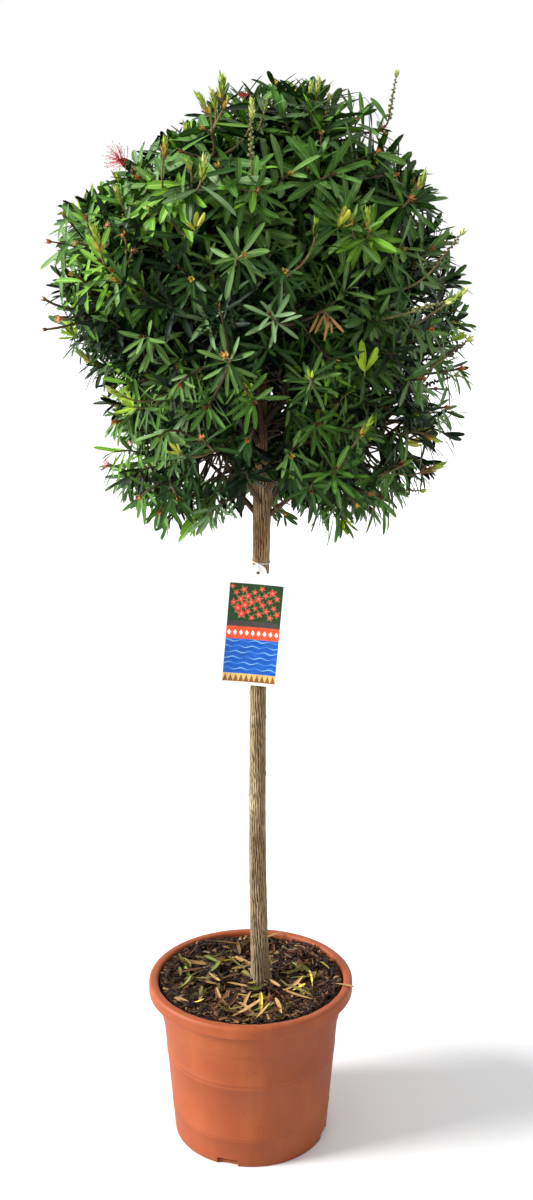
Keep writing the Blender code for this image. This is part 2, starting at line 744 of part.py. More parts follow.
def make_mass(grower, stem, stem_radius, leaf, foliage):
    """Joins the stem, twigs, leaves and buds of a mass into one closed solid."""
    name = f"foliage_{grower.mass.name}"
    radii = [mix(stem_radius * 0.95, TWIG_FOOT_RADIUS, i / (len(stem) - 1)) for i in range(len(stem))]
    body = object_from(name, limb_shape(stem, radii, STEM_SIDES), foliage)
    parts = bpy.data.collections.new("parts_of_" + name)
    bpy.context.scene.collection.children.link(parts)

    def put(obj):
        bpy.context.scene.collection.objects.unlink(obj)
        parts.objects.link(obj)

    for twig in grower.twigs:
        put(object_from("twig", limb_shape(twig, [TWIG_FOOT_RADIUS, TWIG_TIP_RADIUS], TWIG_SIDES)))
    for kind, foot, end in grower.shoots:
        put(object_from("shoot", shoot_shape(kind, foot, end)))
    for root, along, side, length in grower.leaves:
        blade = bpy.data.objects.new("leaf", leaf)
        turn = Matrix((along, side, along.cross(side))).transposed().to_4x4()
        blade.matrix_world = Matrix.Translation(root) @ turn @ Matrix.Scale(length, 4)
        parts.objects.link(blade)
    boolean(body, "UNION", parts, "MANIFOLD")
    apply_modifiers(body)
    for obj in list(parts.objects):
        bpy.data.objects.remove(obj)
    bpy.data.collections.remove(parts)


def main():
    clear_scene()
    plastic = finish("terracotta_plastic", (0.62, 0.23, 0.12), 0.55)
    compost = finish("compost", (0.05, 0.03, 0.02), 0.95)
    bark = finish("bark", (0.30, 0.21, 0.13), 0.9)
    foliage = finish("foliage", (0.06, 0.15, 0.05), 0.5)
    make_pot(plastic)
    make_soil(compost)
    make_trunk(bark)
    make_tag(finish("printed_card", (0.55, 0.62, 0.60), 0.4))
    make_tie(finish("string", (0.85, 0.83, 0.78), 0.8))
    limbs = Limbs()
    heights = [mix(SOIL_TOP, LEADER_TIP_HEIGHT, i / 30) for i in range(31)]
    limbs.add("trunk", [trunk_point(h) for h in heights], [trunk_radius(h) for h in heights])
    cutters = [
        as_helper(object_from("trunk_cutter", trunk_shape(GAP))),
        as_helper(object_from("stub_cutter", stub_shape(GAP))),
    ]
    masses = lay_out_crown()
    stems = [make_bough(mass, masses, bark, cutters, limbs) for mass in masses]
    leaf = leaf_mesh()
    count = 0
    for i, (mass, (run, radius, ahead)) in enumerate(zip(masses, stems)):
        stem = [run[0] + ahead * GAP, run[0] + ahead * STEM_LEAD] + thinned(run, 3)[1:]
        grower = Grower(mass, masses, limbs, CROWN_SEED + i)
        grower.grow(stem)
        make_mass(grower, stem, radius, leaf, foliage)
        count += len(grower.leaves)
    print(count, "leaves in all")


main()
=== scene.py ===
# Potted bottlebrush grown as a standard: a pot of mulch, a fissured stem, a round leafy crown and a hang tag.
# Metres, +Z up, with the origin in the middle of the pot's flat underside.

import math
import random

import bpy
import numpy as np
from mathutils import Matrix, Vector


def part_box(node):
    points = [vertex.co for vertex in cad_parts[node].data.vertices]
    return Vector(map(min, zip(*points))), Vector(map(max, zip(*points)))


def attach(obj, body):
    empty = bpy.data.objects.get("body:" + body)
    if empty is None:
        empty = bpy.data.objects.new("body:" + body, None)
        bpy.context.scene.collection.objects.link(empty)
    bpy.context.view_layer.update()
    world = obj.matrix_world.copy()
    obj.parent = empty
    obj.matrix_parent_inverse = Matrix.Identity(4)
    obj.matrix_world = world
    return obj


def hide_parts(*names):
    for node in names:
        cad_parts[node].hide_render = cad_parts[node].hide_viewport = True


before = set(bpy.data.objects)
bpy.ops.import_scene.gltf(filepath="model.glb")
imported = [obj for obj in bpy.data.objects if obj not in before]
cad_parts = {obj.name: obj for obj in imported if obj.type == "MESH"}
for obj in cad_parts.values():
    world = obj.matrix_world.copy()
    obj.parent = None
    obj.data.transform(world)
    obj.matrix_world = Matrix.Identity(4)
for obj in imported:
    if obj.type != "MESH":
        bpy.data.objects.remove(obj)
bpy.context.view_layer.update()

up = Vector((0.0, 0.0, 1.0))
down = -up
goldenAngle = math.pi * (3.0 - math.sqrt(5.0))


# Small helpers

def mix(a, b, share):
    return a + (b - a) * share


def within(share):
    return min(max(share, 0.0), 1.0)


def deselectAll():
    bpy.ops.object.select_all(action="DESELECT")


def tint(red, green, blue):
    # a screen colour, 0 to 255, as the linear colour that a shader takes
    return tuple((c / 255.0) ** 2.2 for c in (red, green, blue)) + (1.0,)


def shaded(colour, share):
    return tuple(c * share for c in colour[:3]) + (1.0,)


def finishPiece(piece, slotName, *nodes):
    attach(piece, "root")
    if nodes:
        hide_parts(*nodes)
    return piece


def smoothPiece(piece, degrees=35.0):
    deselectAll()
    piece.select_set(True)
    bpy.context.view_layer.objects.active = piece
    bpy.ops.object.shade_smooth_by_angle(angle=math.radians(degrees))
    deselectAll()


def readPoints(piece):
    count = len(piece.data.vertices)
    points = np.zeros(count * 3)
    piece.data.vertices.foreach_get("co", points)
    return points.reshape(count, 3)


def writePoints(piece, points):
    piece.data.vertices.foreach_set("co", points.ravel())
    piece.data.update()


# Camera, floor and light

viewSettings = {
    "place": (0.0248, -2.0114, 1.3568),
    "pitchDown": 13.66,  # degrees
    "lens": 42.1,
    "sensorHeight": 36.0,
}


def setCamera():
    lens = bpy.data.cameras.new("camera")
    lens.sensor_fit = "VERTICAL"
    lens.sensor_height = viewSettings["sensorHeight"]
    lens.lens = viewSettings["lens"]
    lens.clip_end = 200.0
    camera = bpy.data.objects.new("camera", lens)
    bpy.context.scene.collection.objects.link(camera)
    camera.location = viewSettings["place"]
    camera.rotation_euler = (math.radians(90.0 - viewSettings["pitchDown"]), 0.0, 0.0)
    bpy.context.scene.camera = camera


lightSettings = {
    "world": 1.0,
    "floor": (0.64, 0.64, 0.64, 1.0),
    "suns": {
        # the way each shines from, its strength and how wide it is in degrees
        "key": (Vector((-0.87, -0.19, 0.45)), 7.4, 22.0),
        "rim": (Vector((0.35, 0.75, 0.55)), 0.4, 60.0),
    },
}


def setLight():
    world = bpy.data.worlds.new("studio")
    world.use_nodes = True
    background = world.node_tree.nodes["Background"]
    background.inputs["Color"].default_value = (1.0, 1.0, 1.0, 1.0)
    background.inputs["Strength"].default_value = lightSettings["world"]
    bpy.context.scene.world = world
    bpy.context.scene.view_settings.view_transform = "Standard"
    for name, (way, strength, degrees) in lightSettings["suns"].items():
        light = bpy.data.lights.new(name, "SUN")
        light.energy = strength
        light.angle = math.radians(degrees)
        lamp = bpy.data.objects.new(name, light)
        bpy.context.scene.collection.objects.link(lamp)
        lamp.rotation_euler = way.to_track_quat("Z", "Y").to_euler()
    deselectAll()
    bpy.ops.mesh.primitive_plane_add(size=90.0, location=(0.0, 0.0, 0.0))
    floor = bpy.context.object
    floor.name = "floor"
    paint = bpy.data.materials.new("pale_floor")
    paint.use_nodes = True
    shader = paint.node_tree.nodes["Principled BSDF"]
    shader.inputs["Base Color"].default_value = lightSettings["floor"]
    shader.inputs["Roughness"].default_value = 0.85
    floor.data.materials.append(paint)


# Materials

class Finish:
    # a Principled material with short ways to add nodes

    def __init__(self, name, colour, roughness):
        self.material = bpy.data.materials.new(name)
        self.material.use_nodes = True
        self.tree = self.material.node_tree
        self.shader = self.tree.nodes["Principled BSDF"]
        self.shader.inputs["Base Color"].default_value = colour
        self.shader.inputs["Roughness"].default_value = roughness
        self.shader.inputs["Specular IOR Level"].default_value = 0.24
        self.where = None

    def link(self, a, b):
        self.tree.links.new(a, b)

    def place(self, scale=(1.0, 1.0, 1.0)):
        if self.where is None:
            self.where = self.tree.nodes.new("ShaderNodeTexCoord")
        mapping = self.tree.nodes.new("ShaderNodeMapping")
        mapping.inputs["Scale"].default_value = scale
        self.link(self.where.outputs["Object"], mapping.inputs["Vector"])
        return mapping.outputs["Vector"]

    def noise(self, scale, detail=3.0, rough=0.5, stretch=(1.0, 1.0, 1.0)):
        node = self.tree.nodes.new("ShaderNodeTexNoise")
        node.inputs["Scale"].default_value = scale
        node.inputs["Detail"].default_value = detail
        node.inputs["Roughness"].default_value = rough
        self.link(self.place(stretch), node.inputs["Vector"])
        return node.outputs["Fac"]

    def ramp(self, source, *stops):
        # stops are (place, colour)
        node = self.tree.nodes.new("ShaderNodeValToRGB")
        band = node.color_ramp
        band.elements[0].position, band.elements[0].color = stops[0]
        band.elements[1].position, band.elements[1].color = stops[-1]
        for position, colour in stops[1:-1]:
            band.elements.new(position).color = colour
        self.link(source, node.inputs["Fac"])
        return node.outputs["Color"]

    def blend(self, share, a, b, way="MIX"):
        node = self.tree.nodes.new("ShaderNodeMix")
        node.data_type = "RGBA"
        node.blend_type = way
        for socket, value in ((node.inputs[0], share), (node.inputs[6], a), (node.inputs[7], b)):
            if isinstance(value, bpy.types.NodeSocket):
                self.link(value, socket)
            else:
                socket.default_value = value
        return node.outputs[2]

    def spread(self, source, low, high, toLow=0.0, toHigh=1.0):
        node = self.tree.nodes.new("ShaderNodeMapRange")
        for name, value in (("From Min", low), ("From Max", high), ("To Min", toLow), ("To Max", toHigh)):
            node.inputs[name].default_value = value
        self.link(source, node.inputs["Value"])
        return node.outputs["Result"]

    def colour(self, source):
        self.link(source, self.shader.inputs["Base Color"])

    def roughness(self, source):
        self.link(source, self.shader.inputs["Roughness"])

    def bump(self, source, distance, strength=1.0):
        node = self.tree.nodes.new("ShaderNodeBump")
        node.inputs["Distance"].default_value = distance
        node.inputs["Strength"].default_value = strength
        last = self.shader.inputs["Normal"]
        if last.is_linked:
            self.link(last.links[0].from_socket, node.inputs["Normal"])
        self.link(source, node.inputs["Height"])
        self.link(node.outputs["Normal"], last)


def potPlastic():
    finish = Finish("terracotta_plastic", tint(139, 68, 36), 0.6)
    finish.shader.inputs["Specular IOR Level"].default_value = 0.42
    mottle = finish.noise(9.0, 4.0, 0.55)
    base = finish.ramp(
        mottle, (0.30, tint(123, 55, 20)), (0.52, tint(134, 62, 23)), (0.74, tint(144, 72, 30))
    )
    streaks = finish.noise(26.0, 3.0, 0.6, (1.0, 1.0, 0.12))
    dust = finish.spread(streaks, 0.52, 0.80, 0.0, 0.30)
    base = finish.blend(dust, base, tint(160, 90, 48))
    soil = finish.noise(60.0, 5.0, 0.62)
    grime = finish.spread(soil, 0.60, 0.78, 0.0, 0.35)
    base = finish.blend(grime, base, tint(92, 41, 15))
    specks = finish.noise(310.0, 2.0, 0.5)
    dark = finish.spread(specks, 0.735, 0.76, 0.0, 0.85)
    base = finish.blend(dark, base, tint(46, 28, 20))
    finish.colour(base)
    finish.roughness(finish.spread(finish.noise(18.0, 3.0), 0.3, 0.7, 0.54, 0.70))
    finish.bump(finish.noise(700.0, 2.0), 0.00008, 0.6)
    finish.bump(finish.noise(14.0, 2.0), 0.0012, 0.35)
    return finish.material


def compostEarth():
    finish = Finish("compost_bed", tint(40, 27, 20), 0.95)
    finish.colour(finish.ramp(finish.noise(140.0, 5.0), (0.35, tint(20, 12, 8)), (0.7, tint(58, 38, 22))))
    finish.bump(finish.noise(260.0, 4.0), 0.0015)
    return finish.material


def chipBark(name, colour):
    finish = Finish(name, colour, 0.8)
    grain = finish.noise(240.0, 4.0, 0.6)
    finish.colour(finish.ramp(
        grain, (0.30, shaded(colour, 0.50)), (0.5, colour), (0.72, shaded(colour, 1.6))
    ))
    finish.roughness(finish.spread(finish.noise(90.0, 2.0), 0.3, 0.7, 0.55, 0.92))
    finish.bump(finish.noise(900.0, 3.0), 0.0004, 0.8)
    return finish.material


def stemBark():
    # the furrow attribute is 0 on a ridge and 1 in a fissure. The fissures are painted dark, as painted shade
    # in the cracks
    finish = Finish("stem_bark", tint(140, 117, 90), 0.92)
    node = finish.tree.nodes.new("ShaderNodeAttribute")
    node.attribute_name = "furrow"
    furrow = node.outputs["Fac"]
    ridge = finish.ramp(
        finish.noise(70.0, 5.0, 0.62, (1.0, 1.0, 0.22)),
        (0.28, tint(98, 80, 56)), (0.5, tint(132, 112, 84)), (0.72, tint(172, 152, 122)),
    )
    patches = finish.spread(finish.noise(26.0, 3.0, 0.55, (1.0, 1.0, 0.35)), 0.56, 0.70, 0.0, 0.55)
    ridge = finish.blend(patches, ridge, tint(142, 98, 60))
    green = finish.spread(finish.noise(15.0, 2.0), 0.55, 0.75, 0.0, 0.35)
    ridge = finish.blend(green, ridge, tint(98, 94, 64))
    grey = finish.tree.nodes.new("ShaderNodeSeparateXYZ")
    finish.link(finish.place(), grey.inputs["Vector"])
    foot = finish.spread(grey.outputs["Z"], 0.42, 0.25, 0.0, 0.5)
    ridge = finish.blend(foot, ridge, tint(112, 100, 84))
    # the head is painted paler: partly its own reddish-tan young bark, partly painted light where the crown
    # shades it
    head = finish.spread(grey.outputs["Z"], 1.00, 1.09, 0.0, 0.60)
    ridge = finish.blend(head, ridge, tint(184, 138, 98))
    # painted shade: the dark colour laid into the fissures
    deep = finish.ramp(finish.noise(60.0, 3.0), (0.35, tint(34, 24, 15)), (0.7, tint(64, 45, 29)))
    finish.colour(finish.blend(finish.spread(furrow, 0.15, 0.85), ridge, deep))
    finish.bump(finish.noise(420.0, 4.0, 0.65, (1.0, 1.0, 0.18)), 0.0009, 0.9)
    return finish.material


def sawnWood():
    finish = Finish("sawn_face", tint(214, 168, 116), 0.85)
    rings = finish.tree.nodes.new("ShaderNodeTexNoise")
    rings.inputs["Scale"].default_value = 180.0
    finish.link(finish.place(), rings.inputs["Vector"])
    finish.colour(finish.ramp(rings.outputs["Fac"], (0.3, tint(176, 126, 84)), (0.7, tint(236, 196, 146))))
    finish.bump(rings.outputs["Fac"], 0.0004)
    return finish.material


def limbBark(name, colour, rough=0.88):
    finish = Finish(name, colour, rough)
    streak = finish.noise(150.0, 4.0, 0.6)
    finish.colour(finish.ramp(
        streak, (0.3, shaded(colour, 0.6)), (0.52, colour), (0.75, shaded(colour, 1.55))
    ))
    finish.bump(finish.noise(500.0, 3.0), 0.0006, 0.8)
    return finish.material


def leafSkin(name, colour, rough=0.46):
    finish = Finish(name, colour, rough)
    finish.shader.inputs["Specular IOR Level"].default_value = 0.16
    patch = finish.noise(34.0, 2.0, 0.5)
    finish.colour(finish.ramp(patch, (0.32, shaded(colour, 0.78)), (0.68, shaded(colour, 1.24))))
    return finish.material


def plainSkin(name, colour, rough=0.6):
    finish = Finish(name, colour, rough)
    patch = finish.noise(120.0, 2.0, 0.5)
    finish.colour(finish.ramp(patch, (0.32, shaded(colour, 0.82)), (0.68, shaded(colour, 1.18))))
    return finish.material


# Joined meshes from arrays

def joinedMesh(name, points, quads, tris, materials, slots=None, smooth=True):
    mesh = bpy.data.meshes.new(name)
    points = np.asarray(points, dtype=np.float32).reshape(-1, 3)
    quads = np.asarray(quads, dtype=np.int32).reshape(-1, 4)
    tris = np.asarray(tris, dtype=np.int32).reshape(-1, 3)
    corners = np.concatenate([quads.ravel(), tris.ravel()])
    starts = np.concatenate([np.arange(len(quads)) * 4, len(quads) * 4 + np.arange(len(tris)) * 3])
    mesh.vertices.add(len(points))
    mesh.vertices.foreach_set("co", points.ravel())
    mesh.loops.add(len(corners))
    mesh.loops.foreach_set("vertex_index", corners)
    mesh.polygons.add(len(starts))
    mesh.polygons.foreach_set("loop_start", starts.astype(np.int32))
    for material in materials:
        mesh.materials.append(material)
    if slots is not None:
        mesh.polygons.foreach_set("material_index", np.asarray(slots, dtype=np.int32))
    mesh.update(calc_edges=True)
    mesh.validate()
    if smooth:
        mesh.shade_smooth()
    piece = bpy.data.objects.new(name, mesh)
    bpy.context.scene.collection.objects.link(piece)
    return piece


def repeated(faces, count, pointsEach):
    # a shape's faces, numbered again for each copy
    faces = np.asarray(faces, dtype=np.int32)
    offsets = (np.arange(count) * pointsEach)[:, None, None]
    return (faces[None, :, :] + offsets).reshape(-1, faces.shape[1])


def sidesAlong(points):
    # (side, other side) at each point, carried along so that the tube doesn't twist
    found = []
    side = None
    for i in range(len(points)):
        ahead = (points[min(i + 1, len(points) - 1)] - points[max(i - 1, 0)]).normalized()
        guess = side or (Vector((1.0, 0.0, 0.0)) if abs(ahead.x) < 0.8 else up)
        side = (guess - ahead * guess.dot(ahead)).normalized()
        found.append((side, ahead.cross(side)))
    return found


def tubeMesh(name, limbs, sides, material, knobs=0.0, seed=1):
    # limbs are (points, radii), each closed at both ends by a point
    # knobs roughen a limb, as a share of its radius
    draw = random.Random(seed)
    points, quads, tris = [], [], []
    for path, radii in limbs:
        first = len(points)
        for (side, other), middle, radius in zip(sidesAlong(path), path, radii):
            swell = radius * (1.0 + draw.uniform(-knobs, knobs))
            for k in range(sides):
                turn = math.tau * k / sides
                reach = swell * (1.0 + draw.uniform(-knobs, knobs))
                points.append(middle + (side * math.cos(turn) + other * math.sin(turn)) * reach)
        rings = len(path)
        for i in range(rings - 1):
            for k in range(sides):
                n = (k + 1) % sides
                low, high = first + i * sides, first + (i + 1) * sides
                quads.append((low + k, low + n, high + n, high + k))
        points.append(path[0])
        points.append(path[-1] + (path[-1] - path[-2]).normalized() * radii[-1] * 0.8)
        last = first + (rings - 1) * sides
        for k in range(sides):
            n = (k + 1) % sides
            tris.append((first + n, first + k, len(points) - 2))
            tris.append((last + k, last + n, len(points) - 1))
    return joinedMesh(name, [tuple(p) for p in points], quads, tris, [material])


# A blade is a leaf or a scale: its root, the way it points, the way its upper side faces, then its
# length, width, curl, fold and sway. Rows run from the foot to the tip, and columns across it.

leafRows = ((0.0, 0.12), (0.18, 0.52), (0.42, 0.92), (0.70, 1.0), (0.91, 0.66))
leafColumns = (-1.0, -0.12, 0.12, 1.0)
scaleRows = ((0.0, 0.60), (0.45, 1.0))
scaleColumns = (-1.0, 0.0, 1.0)


def bladeMesh(name, blades, materials, rows=leafRows, columns=leafColumns):
    count = len(blades)
    roots = np.array([b[0] for b in blades])
    along = np.array([b[1] for b in blades])
    face = np.array([b[2] for b in blades])
    length, width, curl, fold, sway = (np.array([b[i] for b in blades]) for i in (3, 4, 5, 6, 7))
    across = np.cross(face, along)
    bend = across * (sway * length)[:, None] - face * (curl * length)[:, None]
    each = []
    for t, broad in rows:
        spine = roots + along * (length * t)[:, None] + bend * t * t
        half = width * 0.5 * broad
        for c in columns:
            lift = face * (fold * half * abs(c))[:, None]
            each.append(spine + across * (half * c)[:, None] + lift)
    each.append(roots + along * length[:, None] + bend)
    points = np.stack(each, axis=1)
    wide = len(columns)
    quads, tris, slots = [], [], []
    for r in range(len(rows) - 1):
        for c in range(wide - 1):
            low, high = r * wide + c, (r + 1) * wide + c
            quads.append((low, low + 1, high + 1, high))
            slots.append(1 if wide == 4 and c == 1 else 0)
    top = (len(rows) - 1) * wide
    tip = len(rows) * wide
    triSlots = []
    for c in range(wide - 1):
        tris.append((top + c, top + c + 1, tip))
        triSlots.append(1 if wide == 4 and c == 1 else 0)
    allSlots = np.concatenate([np.tile(slots, count), np.tile(triSlots, count)])
    if len(materials) == 1:
        allSlots = None
    each = tip + 1
    quads, tris = repeated(quads, count, each), repeated(tris, count, each)
    return joinedMesh(name, points, quads, tris, materials, allSlots)


def beadMesh(name, beads, material):
    # beads are (middle, axis, radius, half length), six-sided
    points, tris, quads = [], [], []
    for middle, axis, radius, half in beads:
        first = len(points)
        side = axis.orthogonal().normalized()
        other = axis.cross(side)
        points.append(middle - axis * half)
        for height, share in ((-0.45, 0.86), (0.40, 0.92)):
            for k in range(6):
                turn = math.tau * k / 6
                out = side * math.cos(turn) + other * math.sin(turn)
                points.append(middle + axis * half * height + out * radius * share)
        points.append(middle + axis * half)
        for k in range(6):
            n = (k + 1) % 6
            tris.append((first, first + 1 + n, first + 1 + k))
            quads.append((first + 1 + k, first + 1 + n, first + 7 + n, first + 7 + k))
            tris.append((first + 7 + k, first + 7 + n, first + 13))
    return joinedMesh(name, [tuple(p) for p in points], quads, tris, [material])


# Pot

pot = {
    "sides": 128,
    "height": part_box("pot")[1].z,
    "rim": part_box("pot")[1].x,
    "rimInner": 0.146,
    "foot": 0.1215,
    "waist": 0.1375,
    "waistHeight": 0.1965,
    "bandStep": 0.0015,
    "shoulder": 0.1475,
    "lip": 0.021,
    "wall": 0.0035,
    "floor": 0.005,
    "lines": (0.0455, 0.0495, 0.1395, 0.1465),  # heights of the moulded lines round the wall
    "lineHeight": 0.00045,
    "drains": 4,
    "drainFirst": math.radians(-107.0),
    "drainWidth": 0.034,
    "drainHeight": 0.011,
    "drainDepth": 0.012,
}


def potProfile():
    # (radius, height) from the underside, up the wall, over the lip and down inside to the floor
    top, lip, rim, inner = pot["height"], pot["height"] - pot["lip"], pot["rim"], pot["rimInner"]
    line = pot["lineHeight"]

    def wallAt(height):
        return mix(pot["foot"], pot["waist"], height / pot["waistHeight"])

    steps = [(pot["foot"] - 0.0022, 0.0), (pot["foot"] - 0.0006, 0.0005), (wallAt(0.0022), 0.0022)]
    steps.append((wallAt(0.020), 0.020))
    for height in pot["lines"]:
        steps += [(wallAt(height - 0.0011), height - 0.0011), (wallAt(height) + line, height - 0.0003)]
        steps += [(wallAt(height) + line, height + 0.0003), (wallAt(height + 0.0011), height + 0.0011)]
    for height in (0.095, 0.168):
        steps.append((wallAt(height), height))
    steps.sort(key=lambda step: step[1])
    waist, waistHeight = pot["waist"], pot["waistHeight"]
    band = waist + pot["bandStep"]
    steps += [
        (waist, waistHeight - 0.0008), (waist + 0.0002, waistHeight - 0.0002),
        (band - 0.0002, waistHeight + 0.0006), (band, waistHeight + 0.0014),
        (mix(band, pot["shoulder"], 0.5), mix(waistHeight, lip, 0.5)),
        (pot["shoulder"] - 0.0003, lip - 0.0016), (pot["shoulder"] + 0.0006, lip - 0.0003),
    ]
    steps += [
        (rim - 0.0032, lip), (rim - 0.0012, lip + 0.0006),
        (rim - 0.0002, lip + 0.0020), (rim, lip + 0.0042),
    ]
    steps.append((rim, top - 0.0072))
    for i in range(1, 6):
        turn = math.radians(90.0 * i / 5)
        steps.append((rim - 0.0058 * (1 - math.cos(turn)), top - 0.0058 * (1 - math.sin(turn))))
    for i in range(0, 5):
        turn = math.radians(90.0 * i / 4)
        steps.append((inner + 0.0042 * (1 - math.sin(turn)), top - 0.0042 * (1 - math.cos(turn))))
    wall = pot["wall"]
    steps += [
        (pot["shoulder"] - wall + 0.0006, lip + 0.006), (pot["shoulder"] - wall, lip),
        (waist - wall, waistHeight), (pot["foot"] - wall, pot["floor"]),
    ]
    return steps


def throw(name, profile, sides):
    # the disc at the foot is drawn up through every radius and height, and its last place closes the inside
    deselectAll()
    radius, height = profile[0]
    bpy.ops.mesh.primitive_circle_add(
        vertices=sides, radius=radius, fill_type="NGON", location=(0, 0, height)
    )
    body = bpy.context.object
    body.name = name
    bpy.ops.object.transform_apply(location=True)
    bpy.ops.object.mode_set(mode="EDIT")
    bpy.ops.mesh.select_all(action="SELECT")
    for nextRadius, nextHeight in profile[1:]:
        bpy.ops.mesh.extrude_region_move(TRANSFORM_OT_translate={"value": (0, 0, nextHeight - height)})
        share = nextRadius / radius
        bpy.ops.transform.resize(value=(share, share, 1.0), center_override=(0, 0, 0))
        radius, height = nextRadius, nextHeight
    bpy.ops.mesh.select_all(action="SELECT")
    bpy.ops.mesh.normals_make_consistent(inside=False)
    bpy.ops.object.mode_set(mode="OBJECT")
    return body


def cutDrains(body):
    # arched slots through the foot of the wall
    for i in range(pot["drains"]):
        turn = pot["drainFirst"] + math.tau * i / pot["drains"]
        deselectAll()
        bpy.ops.mesh.primitive_cube_add(size=1.0, location=(0, 0, 0))
        cutter = bpy.context.object
        cutter.scale = (pot["drainDepth"], pot["drainWidth"], pot["drainHeight"] * 2)
        bpy.ops.object.transform_apply(scale=True)
        bevel = cutter.modifiers.new("bevel", "BEVEL")
        bevel.width = 0.0035
        bevel.segments = 4
        bpy.ops.object.modifier_apply(modifier="bevel")
        reach = Matrix.Rotation(turn, 4, "Z") @ Matrix.Translation((pot["foot"], 0, 0))
        cutter.data.transform(reach)
        deselectAll()
        body.select_set(True)
        bpy.context.view_layer.objects.active = body
        cut = body.modifiers.new("drain", "BOOLEAN")
        cut.operation = "DIFFERENCE"
        cut.solver = "EXACT"
        cut.object = cutter
        bpy.ops.object.modifier_apply(modifier="drain")
        bpy.data.objects.remove(cutter)


def makePot():
    body = throw("pot_shell", potProfile(), pot["sides"])
    cutDrains(body)
    points = readPoints(body)
    angle = np.arctan2(points[:, 1], points[:, 0])
    high = np.clip((points[:, 2] - 0.05) / pot["height"], 0, 1)
    # a thin plastic wall is never quite round, and the lip's inner edge is a little ragged
    sway = 1.0 + high * (0.0016 * np.sin(2 * angle + 0.6) + 0.0007 * np.sin(5 * angle + 2.0))
    points[:, 0] *= sway
    points[:, 1] *= sway
    radius = np.hypot(points[:, 0], points[:, 1])
    ragged = (radius < pot["rimInner"] + 0.004) & (points[:, 2] > pot["height"] - 0.012)
    wave = np.sin(23 * angle) + np.sin(37 * angle + 1.3) + np.sin(61 * angle + 0.4)
    points[ragged, 2] += 0.00022 * wave[ragged]
    writePoints(body, points)
    body.data.materials.append(potPlastic())
    smoothPiece(body, 30.0)
    return finishPiece(body, "pot", "pot")


# Mulch: a rough bed, bark chips and fallen leaves

mulch = {
    "seed": 5,
    "top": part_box("soil")[1].z,
    "radius": 0.1435,
    "low": 0.0056,
    "chips": 3300,
    "crumbs": 1900,
    "chipLength": (0.007, 0.027),
    "chipWidth": (0.14, 0.36),  # shares of the length
    "chipThick": (0.04, 0.13),
    "heap": 0.0062,  # how high the chips lie on each other
    "banked": 0.0165,  # the bed rises by this to the wall
    "leaves": 128,
    "clusterLeaves": 38,
    "cluster": (0.004, -0.098),  # the drift of leaves at the front
    "colours": {
        "mulch_dark": ((48, 30, 17), 0.36),
        "mulch_black": ((27, 16, 9), 0.28),
        "mulch_red": ((74, 43, 23), 0.20),
        "mulch_grey": ((94, 78, 58), 0.08),
        "mulch_tan": ((132, 100, 62), 0.08),
    },
    "leafColours": {
        "fallen_tan": ((148, 116, 72), 0.30),
        "fallen_olive": ((100, 92, 44), 0.22),
        "fallen_green": ((104, 114, 48), 0.12),
        "fallen_yellow": ((178, 158, 58), 0.10),
        "fallen_brown": ((92, 60, 34), 0.24),
    },
}


def dealt(draw, shares):
    # a name from {name: (value, share)}
    pick = draw.random() * sum(share for _, share in shares.values())
    for name, (_, share) in shares.items():
        pick -= share
        if pick <= 0:
            return name
    return name


def bedHeight(x, y):
    # the bed dips a little in places and rises to the stem
    rise = 0.0022 * math.sin(31 * x + 1.0) * math.cos(27 * y) + 0.0016 * math.sin(63 * x - 40 * y)
    stemNear = math.hypot(x - 0.016, y - 0.010)
    banked = mulch["banked"] * (math.hypot(x, y) / mulch["radius"]) ** 3
    return mulch["top"] - 0.0035 + rise + banked + 0.005 * math.exp(-(stemNear / 0.035) ** 2)


def makeBed():
    wall = pot["wall"] + 0.0004
    waist = pot["waist"] - wall - 0.0005
    profile = [
        (pot["foot"] - wall - 0.0085, mulch["low"]),
        (pot["foot"] - wall - 0.0085, 0.016),
        (waist, pot["waistHeight"]),
        (pot["shoulder"] - wall - 0.0008, mulch["top"] - 0.0036),
    ]
    for i in range(1, 34):
        profile.append(((pot["shoulder"] - wall - 0.0008) * (1 - i / 34), mulch["top"] - 0.0035))
    bed = throw("mulch_bed", profile, 96)
    points = readPoints(bed)
    for point in points:
        if point[2] > mulch["top"] - 0.004:
            ripple = math.sin(260 * point[0]) * math.cos(240 * point[1])
            point[2] = bedHeight(point[0], point[1]) + 0.0009 * ripple
    writePoints(bed, points)
    bed.data.materials.append(compostEarth())
    smoothPiece(bed, 40.0)
    return finishPiece(bed, "compost", "soil")


def chipPoints(draw, middle, length):
    # a splinter of three uneven four-cornered sections
    wide = length * mix(*mulch["chipWidth"], draw.random())
    thick = length * mix(*mulch["chipThick"], draw.random())
    tilt = Matrix.Rotation(draw.gauss(0, 0.34), 3, "X") @ Matrix.Rotation(draw.gauss(0, 0.30), 3, "Y")
    turn = Matrix.Rotation(draw.uniform(0, math.tau), 3, "Z") @ tilt
    bend = draw.uniform(-0.12, 0.16) * length
    sections = (
        (-0.5, draw.uniform(0.2, 0.8)), (draw.uniform(-0.15, 0.15), 1.0), (0.5, draw.uniform(0.1, 0.7)),
    )
    points = []
    for along, share in sections:
        slew = draw.uniform(-0.12, 0.12) * length
        for a, b in ((-1, -1), (1, -1), (1, 1), (-1, 1)):
            x = along * length + a * slew * 0.4
            y = a * wide / 2 * share * draw.uniform(0.8, 1.15)
            z = b * thick / 2 * draw.uniform(0.7, 1.2) + bend * (1 - abs(along) * 2)
            points.append(middle + turn @ Vector((x, y, z)))
    return points


chipQuads = [
    (i + k, i + (k + 1) % 4, i + 4 + (k + 1) % 4, i + 4 + k) for i in (0, 4) for k in range(4)
] + [(3, 2, 1, 0), (8, 9, 10, 11)]


